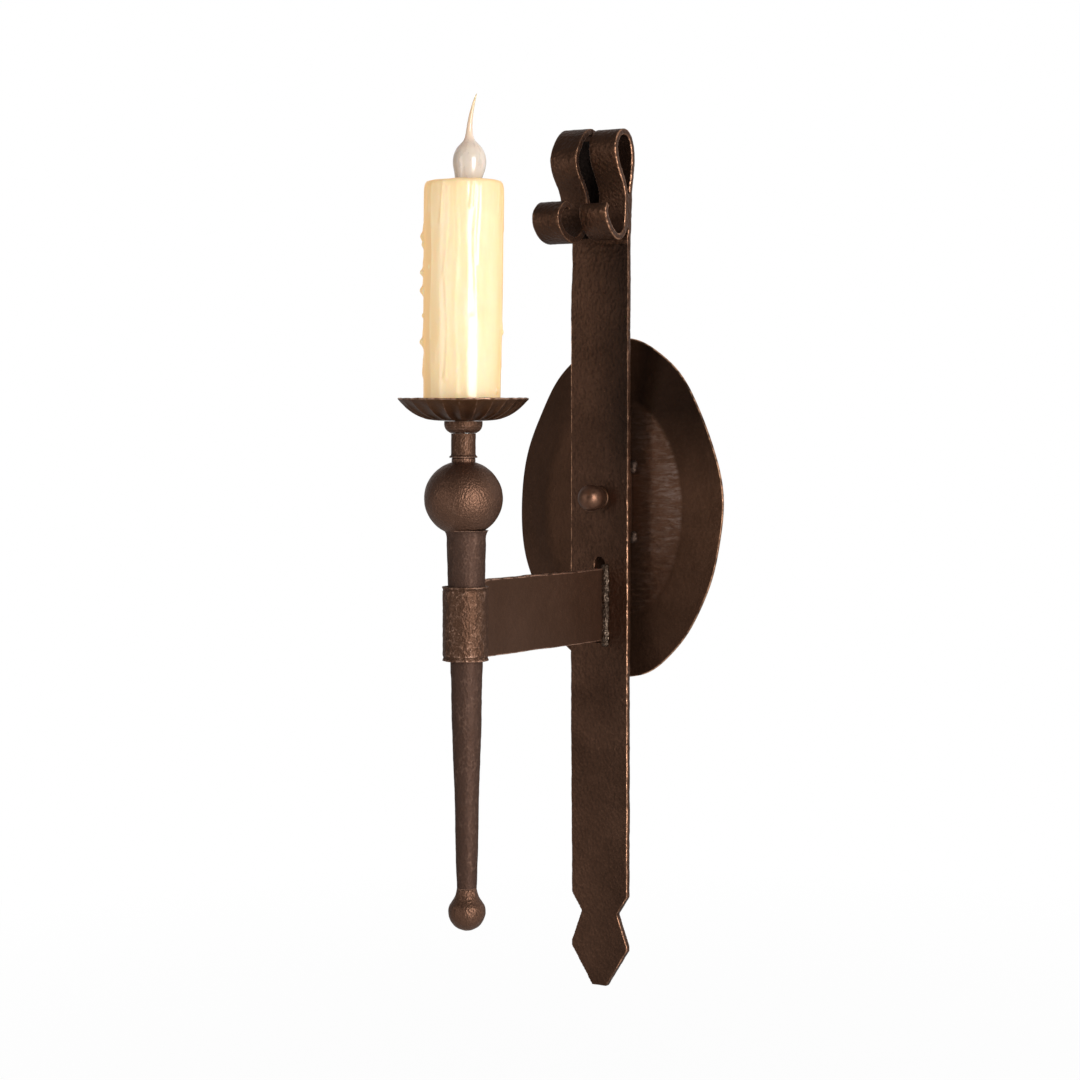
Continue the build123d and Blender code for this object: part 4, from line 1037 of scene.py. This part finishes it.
# ---------------------------------------------------------------- torch, profiles (radius, z)
def torch_shaft():
    profile = [(0, -176.2), (2.45, -176.2), (2.45, SHAFT_FOOT_Z), (SHAFT_FOOT_R, SHAFT_FOOT_Z)]
    for z in np.linspace(-170.0, -18.5, 60):
        profile.append((shaft_radius(z) + 0.12 * math.sin(z * 0.11) * (z < -75), z))
    # a small fillet spreads out under the ball
    profile += [
        (8.72, -16.6), (8.76, -15.4), (8.88, -14.2), (9.15, -13.1), (9.6, -12.2),
        (10.0, -11.65), (9.7, -11.6), (9.0, -11.98), (6.0, -13.36), (3.0, -14.1), (0, -14.4),
    ]
    turned("torch_shaft_forged", profile, 150, 0.55, IRON_SHAFT, "torch_shaft",
           closed=False, shift=FOOT_SHIFT, around=7.5, rings=2, ridge_gain=22,
           blows=dict(cell=9.0, depth=0.14, seed=113, cover=0.8),
           flat=[dict(cell=(2.8, 3.4), depth=0.08, seed=111, cover=0.35),
                 dict(cell=(1.6, 2.0), depth=0.045, seed=117, cover=0.45)],
           jitter=0.06, jitter_size=2.4)


def torch_ball():
    ring = arc(17.5, np.linspace(-PI / 2 + 0.26, PI / 2 - 0.30, 80), (0, 2.5), rise=16.8)
    profile = [(CORE_R, ring[0][1])] + ring + [
        (5.5, 18.9), (5.35, 19.2), (5.3, 20.35), (4.95, 20.4), (4.95, 24.0), (CORE_R, 24.0),
    ]
    turned("torch_ball_forged", profile, 260, 0.45, IRON_BALL, "torch_ball",
           shift=HEAD_SHIFT, around=15.5, rings=2,
           blows=dict(cell=6.0, depth=0.10, seed=121, cover=0.7),
           flat=[dict(cell=(2.0, 3.0), depth=0.030, seed=123, cover=0.40),
                 dict(cell=(1.2, 1.8), depth=0.040, seed=127, cover=0.5)],
           jitter=0.05, jitter_size=2.2)


def finial():
    ring = arc(8.4, np.linspace(-PI / 2, 0.36, 60), (0, -181.6), rise=8.4 * 1.02)
    profile = [(0, ring[0][1])] + ring[1:] + [
        (7.45, -177.95), (6.85, -177.1), (6.2, -176.15), (5.6, -175.1), (5.15, -174.0),
        (4.8, -172.8), (4.6, -171.6), (4.55, -171.25), (2.5, -171.25), (2.5, -176.6),
        (0, -176.6),
    ]
    turned("finial_forged", profile, 150, 0.4, IRON_BALL, "finial_ball",
           closed=False, shift=FOOT_SHIFT, around=7.6, rings=2,
           blows=dict(cell=4.0, depth=0.10, seed=131, cover=0.7),
           flat=[dict(cell=(2.3, 2.9), depth=0.16, seed=133, cover=0.5)],
           jitter=0.05, jitter_size=1.8)


def neck_ferrule():
    profile = [
        (4.98, 20.45), (6.1, 20.42), (6.28, 20.62), (6.30, 20.9), (6.05, 21.2), (5.60, 21.6),
        (5.52, 22.2), (5.50, 31.2), (CORE_R, 31.3), (CORE_R, 24.05), (4.98, 24.05),
    ]
    turned("ferrule_rolled", profile, 130, 0.3, IRON_BAND, "neck_ferrule",
           shift=HEAD_SHIFT, around=5.8, rings=2, ridge_gain=32,
           flat=[dict(cell=(2.2, 2.6), depth=0.13, seed=141, cover=0.5)],
           jitter=0.04, jitter_size=1.6)


def candle_cup():
    profile = [
        (CORE_R, 31.34), (5.7, 31.34), (6.2, 31.6), (7.1, 32.2), (7.9, 33.1), (8.35, 34.2),
        (8.5, 35.3), (8.45, 36.6), (7.25, 36.62), (7.3, 34.8), (6.5, 33.4), (CORE_R, 32.6),
    ]
    turned("cup_turned", profile, 130, 0.3, IRON_BAND, "candle_cup",
           shift=HEAD_SHIFT, rings=2, blows=dict(cell=2.2, depth=0.05, seed=151, cover=0.6),
           jitter=0.03, jitter_size=1.6)


FLUTES = 24
DISH_Z = 36.72
DISH_UNDERSIDE = [
    (4.4, DISH_Z), (9.0, DISH_Z + 0.02), (11.8, 36.95), (15.6, 37.7), (19.0, 38.85),
    (22.0, 40.3), (25.0, 42.4), (27.4, 44.5), (28.9, 46.0),
]


def drip_dish():
    low = catmull(DISH_UNDERSIDE, step=0.45)
    radius, height = low.T
    top = columns(radius - 0.30 * unit((radius - 12) / 12),
                  height + 0.85 - 0.15 * unit((radius - 24) / 5))
    dish = lathe("drip_dish_fluted", [*low, (29.0, 46.35), *top[::-1]], 384, 0.6)
    points = get_points(dish)
    x, y, z = points.T
    radius, angle = np.hypot(x, y - TORCH_Y), np.arctan2(y - TORCH_Y, x)
    # flutes die out towards the hub and the rim, and are not quite evenly spaced
    depth = 1.10 * unit((radius - 10.5) / 6) * (1 - 0.85 * unit((radius - 25.0) / 3.5))
    phase = FLUTES * (angle + 0.045 * np.sin(3 * angle + 1) + 0.02 * np.sin(5 * angle))
    z -= depth * (1 - 2 * np.abs(np.sin(phase / 2)) ** 0.8) * 0.5
    # the rim is slightly warped
    z += 0.14 * np.sin(2 * angle + 0.7) * unit((radius - 20) / 9)
    z += 0.05 * np.sin(7 * angle) * unit((radius - 22) / 7)
    set_points(dish, points)
    forge(dish, blows=dict(cell=4.0, depth=0.06, seed=161, cover=0.65),
          edge_gain=6.0, ridge_gain=34, jitter=0.04, jitter_size=2.5)
    nudge(dish, HEAD_SHIFT)
    dress(dish, IRON_DISH, "drip_dish")


# ---------------------------------------------------------------- knob and washer
def knob_and_washer():
    """Both are turned about y, with profiles (radius, y)."""
    profile = [(0, -34.0)]
    profile += arc(6.35, np.linspace(-PI / 2 + 0.05, 0.36, 60), (0, -27.6), rise=6.4)
    profile += [
        (5.80, -24.9), (5.62, -23.6), (5.4, -21.8), (5.1, -21.0), (2.15, -21.0),
        (2.15, -30.5), (0, -30.7),
    ]
    turned("ball_knob_turned", profile, 130, 0.32, IRON_KNOB, "ball_knob",
           closed=False, along_y=True, body="knob", rings=2, ridge_gain=26,
           blows=dict(cell=3.4, depth=0.08, seed=171, cover=0.65),
           jitter=0.05, jitter_size=1.8)
    profile = [
        (2.35, -20.05), (5.1, -20.05), (5.35, -20.3), (5.35, -20.6), (5.1, -20.9), (2.35, -20.9),
    ]
    turned("washer_ring", profile, 100, 0.25, IRON_DISH, "knob_washer",
           along_y=True, rings=2, jitter=0.03, jitter_size=1.6)


# ---------------------------------------------------------------- wax candle cover
VIEW_LEFT_ANGLE = math.atan2(-math.sin(AZIMUTH), -math.cos(AZIMUTH))
# Short runs on the camera's left: (height of the drop, thickness)
SHORT_RUNS = [(116.5, 0.95), (101.5, 0.7), (93.5, 0.8), (71.0, 0.7), (58.0, 0.45)]
# Single beads: (angle past the camera's left, z, size, thickness)
BEADS = [
    (0.03, 118.0, 1.4, 1.0), (0.09, 114.2, 1.2, 0.9), (0.02, 102.0, 1.1, 1.0),
    (0.03, 94.2, 1.3, 1.0), (0.14, 93.6, 1.1, 0.8), (0.06, 83.0, 0.9, 0.8),
    (0.02, 71.5, 1.2, 1.0), (3.05, 75.5, 1.0, 0.8), (0.55, 104.0, 0.8, 0.5),
    (2.7, 50.0, 0.9, 0.6),
]


def candle_cover():
    bore = 12.05
    profile = [(bore, WAX_BOTTOM), (15.8, WAX_BOTTOM), (16.6, WAX_BOTTOM + 0.8),
               (16.9, WAX_BOTTOM + 3)]
    profile += [(17.0 + 0.45 * k, WAX_BOTTOM + 6 + 88 * k) for k in np.linspace(0, 1, 12)]
    profile += [(17.35, WAX_TOP - 3.2), (17.1, WAX_TOP - 1.4), (16.4, WAX_TOP - 0.4),
                (15.2, WAX_TOP), (13.6, WAX_TOP - 0.2), (12.4, WAX_TOP - 0.9),
                (bore, WAX_TOP - 2.0)]
    wax = lathe("wax_cover", profile, 300, 0.55)
    points = get_points(wax)
    x, y, z = points.T
    radius, angle = np.hypot(x, y - TORCH_Y), np.arctan2(y - TORCH_Y, x)

    def across(centre):
        """Arc length from the angle centre."""
        return ((angle - centre + PI) % (2 * PI) - PI) * WAX_R

    def drip(centre, z_end, width, thick, z_start=WAX_TOP + 1):
        """Height of a run of wax from z_start down to a rounded drop at z_end."""
        offset = across(centre) + 0.6 * np.sin(z * 0.11 + centre * 7)
        past_end = z - z_end - width
        wide = width * (1 + 0.5 * bell(past_end / (2.2 * width)))
        along = (1 / (1 + np.exp(-(z - z_end) * 1.9 / width))
                 / (1 + np.exp((z - z_start) * 1.6 / width)))
        return thick * (0.62 + 0.38 * bell(past_end / (2.4 * width))) * along * bell(offset / wide)

    rng = np.random.default_rng(12)
    draw = rng.random
    drips = [drip(draw() * 2 * PI, WAX_BOTTOM + 2 + 92 * draw() ** 1.2,
                  width=0.6 + 1.0 * draw(), thick=0.16 + 0.30 * draw()) for _ in range(34)]
    for height, thick in SHORT_RUNS:
        drips.append(drip(VIEW_LEFT_ANGLE + 0.05 * math.sin(height), height - 2.0,
                          width=1.3, thick=thick + 0.2, z_start=height + 7.0))
    drips.append(drip(VIEW_LEFT_ANGLE + 2.95, 76.0, width=1.2, thick=0.7, z_start=84.0))
    run = np.maximum(np.max(drips, axis=0), 0)
    for turned_by, height, size, thick in BEADS:
        far2 = ((across(VIEW_LEFT_ANGLE + turned_by) / size) ** 2
                + ((z - height) / (1.25 * size)) ** 2)
        run = run + thick * np.exp(-far2 ** 1.5)

    lump = (0.22 * fbm(points * [1, 1, 0.35], size=12.0, seed=201)
            + 0.10 * fbm(points * [1, 1, 0.25], size=3.2, seed=203))
    rim_lump = (0.35 * fbm(points * [1, 1, 0.2], size=7.0, seed=207, octaves=2)
                * unit((z - WAX_TOP + 3) / 3) * unit((radius - 12.4) / 1.2))
    skin = unit((radius - 14.5) / 1.5)
    offset = skin * (lump + run) * (0.2 + 0.8 * unit((WAX_TOP - 1.0 - z) / 2.5))
    points += get_normals(wax) * offset[:, None]
    z += rim_lump
    # the sleeve stands a little crooked on the dish
    tilt = -1.15 * (1 - unit((z - WAX_BOTTOM) / (WAX_TOP - WAX_BOTTOM)))
    points += np.outer(tilt, VIEW_RIGHT)
    set_points(wax, points)
    put_attribute(wax, "pit", unit(-bend(wax, 3) * 14))
    dress(wax, WAX, "candle_cover", body="candle")


# ---------------------------------------------------------------- lamp, profiles (radius, z)
COAT_OUTER = [
    (5.55, 140.0), (5.75, 141.6), (6.1, 143.6), (6.85, 146.6), (7.35, 149.3), (7.35, 151.2),
    (6.9, 153.6), (5.7, 156.2), (4.1, 158.1), (2.75, 159.5), (2.0, 161.0), (1.55, 163.0),
    (1.30, 165.4), (1.10, 168.0), (0.92, 171.0), (0.72, 174.0), (0.50, 177.0), (0.28, 179.2),
    (0.10, 180.0),
]
COAT_INNER = [
    (5.42, 140.0), (5.42, 142.0), (5.60, 143.2), (5.82, 144.2), (6.58, 147.6), (6.79, 150.4),
    (6.14, 153.6), (4.24, 156.34), (2.4, 157.3), (0.6, 157.66),
]
ENVELOPE = [
    (5.15, 121.0), (5.15, 131.0), (5.25, 138.0), (5.6, 142.8), (6.0, 145.2), (6.5, 147.6),
    (6.7, 150.4), (6.05, 153.6), (4.2, 156.2), (2.2, 157.25), (0, 157.5),
]
GLASS_T = 0.6


def lean(z):
    """The lamp sits a little crooked in its socket: (x, y, z) shift in mm at height z."""
    base = unit((z - 131.0) / 17.0)
    tip = unit((z - 158.0) / 20.0)
    return np.outer(2.4 * base * base * (3 - 2 * base) - 0.8 * tip, VIEW_RIGHT)


def silicone_flame():
    sides = 56
    angle = turn(sides)

    def rings(profile, shift):
        radius, height = profile.T[..., None]
        circles = np.stack([radius * np.cos(angle), TORCH_Y + radius * np.sin(angle),
                            height + 0 * angle], -1)
        return (circles + shift[:, None, :]).reshape(-1, 3)

    outer = catmull(COAT_OUTER, step=0.35)
    inner = catmull(COAT_INNER, step=0.6)
    # the drawn-out tip curls over
    curl = unit((outer[:, 1] - 160) / 20) ** 1.9
    outer_shift = np.outer(curl, [4.1, 1.1, 0.0]) + lean(outer[:, 1])
    outer_tip = [0, TORCH_Y, 180.05] + outer_shift[-1]
    inner_tip = [0, TORCH_Y, 157.68] + lean(157.7)[0]
    points = np.vstack([rings(outer, outer_shift), rings(inner, lean(inner[:, 1])),
                        [outer_tip, inner_tip]])
    start = len(outer) * sides
    faces = grid_faces(len(outer), sides, close_cols=True, flip=True)
    inner_faces = grid_faces(len(inner), sides, close_cols=True, start=start)
    faces += [(quad[3], *quad[:3]) for quad in inner_faces]
    tip = len(points) - 2
    last_outer = start - sides
    last_inner = tip - sides
    for i in range(sides):
        k = (i + 1) % sides
        faces.append((last_outer + i, last_outer + k, tip))
        faces.append((last_inner + k, last_inner + i, tip + 1))
        faces.append((k, i, start + i, start + k))
    flame = face_outward(new_object("silicone_dip", points, faces))
    dress(flame, SILICONE, "silicone_flame", body="lamp")


def bulb_glass():
    """The clear envelope inside the coat, leaning with it."""
    outside = [tuple(point) for point in catmull(ENVELOPE, step=0.7)][::-1]
    inside = [(max(radius - GLASS_T, 0.0), z - (0.0 if radius > 5 else GLASS_T))
              for radius, z in outside]
    inside = [(radius, z) for radius, z in inside if z > 122.0 and radius > 0.3]
    glass = lathe("envelope_blown", outside + [(0, 121.0)], 96, 0.9, closed=False)
    hollow = lathe("hollow", [(0, 156.9)] + inside + [(4.5, 122.0), (0, 122.0)], 96, 0.9,
                   closed=False)
    hollow.data.flip_normals()
    glass = join("envelope_blown", [glass, hollow])
    points = get_points(glass)
    set_points(glass, points + lean(points[:, 2]))
    dress(glass, GLASS, "bulb_glass", body="lamp")


# ---------------------------------------------------------------- CAD pieces kept as they are
KEPT = {
    "standoff_tube": "iron_strap", "threaded_nipple": "zinc_steel", "dish_nut": "zinc_steel",
    "socket_bracket": "zinc_steel", "crossbar": "zinc_steel", "hanging_stud": "zinc_steel",
    "stud_lock_nut": "zinc_steel", "ground_screw": "brass", "ground_wire": "bare_copper",
    "wire_hot": "lead_black", "wire_neutral": "lead_white", "wire_grommet": "rubber",
    "socket_body": "phenolic", "screw_shell": "brass", "socket_rivet": "brass",
    "centre_contact": "brass", "bulb_base": "brass", "bulb_insulator": "vitrite",
    "bulb_tip_contact": "brass", "filament_stem": "lamp_glass", "filament": "filament",
    "cover_core_tube": "card_tube",
}


def paint_kept():
    for node, name in KEPT.items():
        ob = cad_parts[node]
        material = MATERIALS.get(name, IRON)
        if not ob.data.materials:
            ob.data.materials.append(material)
        for slot in ob.material_slots:
            slot.link = "OBJECT"
            slot.material = material


# ---------------------------------------------------------------- floor, light, camera
def pale_floor():
    """A disc that glows white to the camera and bounces light as a matt surface."""
    material, net, bsdf = new_material("pale_floor")
    distance = net.node("ShaderNodeVectorMath", {0: net.position()}, operation="LENGTH")
    far = net.math("DIVIDE", distance.outputs["Value"], 2.4, clamp=True)
    far = net.ramp(far, (0.02, 0.94), (0.30, 1.0))
    far = net.mul(far, net.node("ShaderNodeLightPath").outputs["Is Camera Ray"])
    net.fill(bsdf, {"Base Color": (0.88, 0.88, 0.88), "Roughness": 0.9})
    glow = net.node("ShaderNodeEmission", {"Strength": 1.0})
    surface = net.node("ShaderNodeMixShader", {0: far, 1: bsdf.outputs[0], 2: glow.outputs[0]})
    net.fill(material.node_tree.nodes["Material Output"], {"Surface": surface.outputs[0]})
    ring = [(x, y, -300.0) for x, y in arc(6000, turn(96))]
    floor = new_object("floor_disc", ring, [tuple(range(96))])
    floor.data.materials.append(material)


def studio_world():
    """White to the camera; as ambient light, stronger from behind (+y), weaker from above."""
    world = bpy.context.scene.world or bpy.data.worlds.new("studio")
    bpy.context.scene.world = world
    world.use_nodes = True
    net = Net(world.node_tree)
    ray = net.node("ShaderNodeLightPath").outputs["Is Camera Ray"]
    direction = net.node("ShaderNodeTexCoord").outputs["Generated"]
    axes = net.node("ShaderNodeSeparateXYZ", {0: direction}).outputs

    def strength(axis, start, end, low, high):
        return net.node("ShaderNodeMapRange", {
            "From Min": start, "From Max": end, "To Min": low, "To Max": high,
            "Value": axes[axis]}).outputs["Result"]

    ambient = net.mul(strength("Y", start=0.05, end=0.75, low=0.20, high=0.80),
                      strength("Z", start=0.10, end=0.70, low=1.0, high=0.80))
    rest = net.sub(1.0, ambient)
    net.fill(world.node_tree.nodes["Background"], {
        "Color": (1, 1, 1), "Strength": net.math("MULTIPLY_ADD", ray, rest, ambient)})


def softbox(name, bearing, size, watts):
    """Area light 1300 mm out, bearing degrees from the camera's azimuth (+ is to its right)."""
    azimuth, elevation = AZIMUTH + math.radians(bearing), math.radians(4)
    outward = Vector((math.sin(azimuth) * math.cos(elevation),
                      -math.cos(azimuth) * math.cos(elevation), math.sin(elevation)))
    place = Vector((0, -70, -10)) + outward * 1300
    light = bpy.data.lights.new(name, "AREA")
    light.shape = "RECTANGLE"
    light.size, light.size_y = size[0] * 0.001, size[1] * 0.001
    light.energy = watts
    ob = link_new(name, light)
    ob.location = place * 0.001
    aim = Vector((0, -60, -20)) - place
    ob.rotation_euler = aim.to_track_quat("-Z", "Y").to_euler()


def add_camera():
    elevation, distance = math.radians(2.7), 1196.0
    forward = Vector((-math.sin(AZIMUTH) * math.cos(elevation),
                      math.cos(AZIMUTH) * math.cos(elevation), -math.sin(elevation)))
    right = Vector((math.cos(AZIMUTH), math.sin(AZIMUTH), 0))
    up = right.cross(forward)
    eye = -forward * distance + right * -28.5 + up * -20.4 + Vector((0, -20.0, 0))
    camera = bpy.data.cameras.new("camera")
    camera.lens = 83.0
    camera.sensor_width = 36.0
    camera.clip_start, camera.clip_end = 0.05, 50
    ob = link_new("camera", camera)
    pose = Matrix((right, up, -forward)).transposed().to_4x4()
    pose.translation = eye * 0.001
    ob.matrix_world = pose
    bpy.context.scene.camera = ob
    bpy.context.scene.view_settings.view_transform = "Standard"


back_strap()
oval_pan()
arm_band()
welds()
torch_shaft()
torch_ball()
finial()
neck_ferrule()
candle_cup()
drip_dish()
knob_and_washer()
candle_cover()
silicone_flame()
bulb_glass()
paint_kept()
pale_floor()
studio_world()
softbox("key", bearing=30, size=(560, 1000), watts=15.0)
softbox("fill", bearing=-58, size=(340, 1100), watts=2.3)
add_camera()
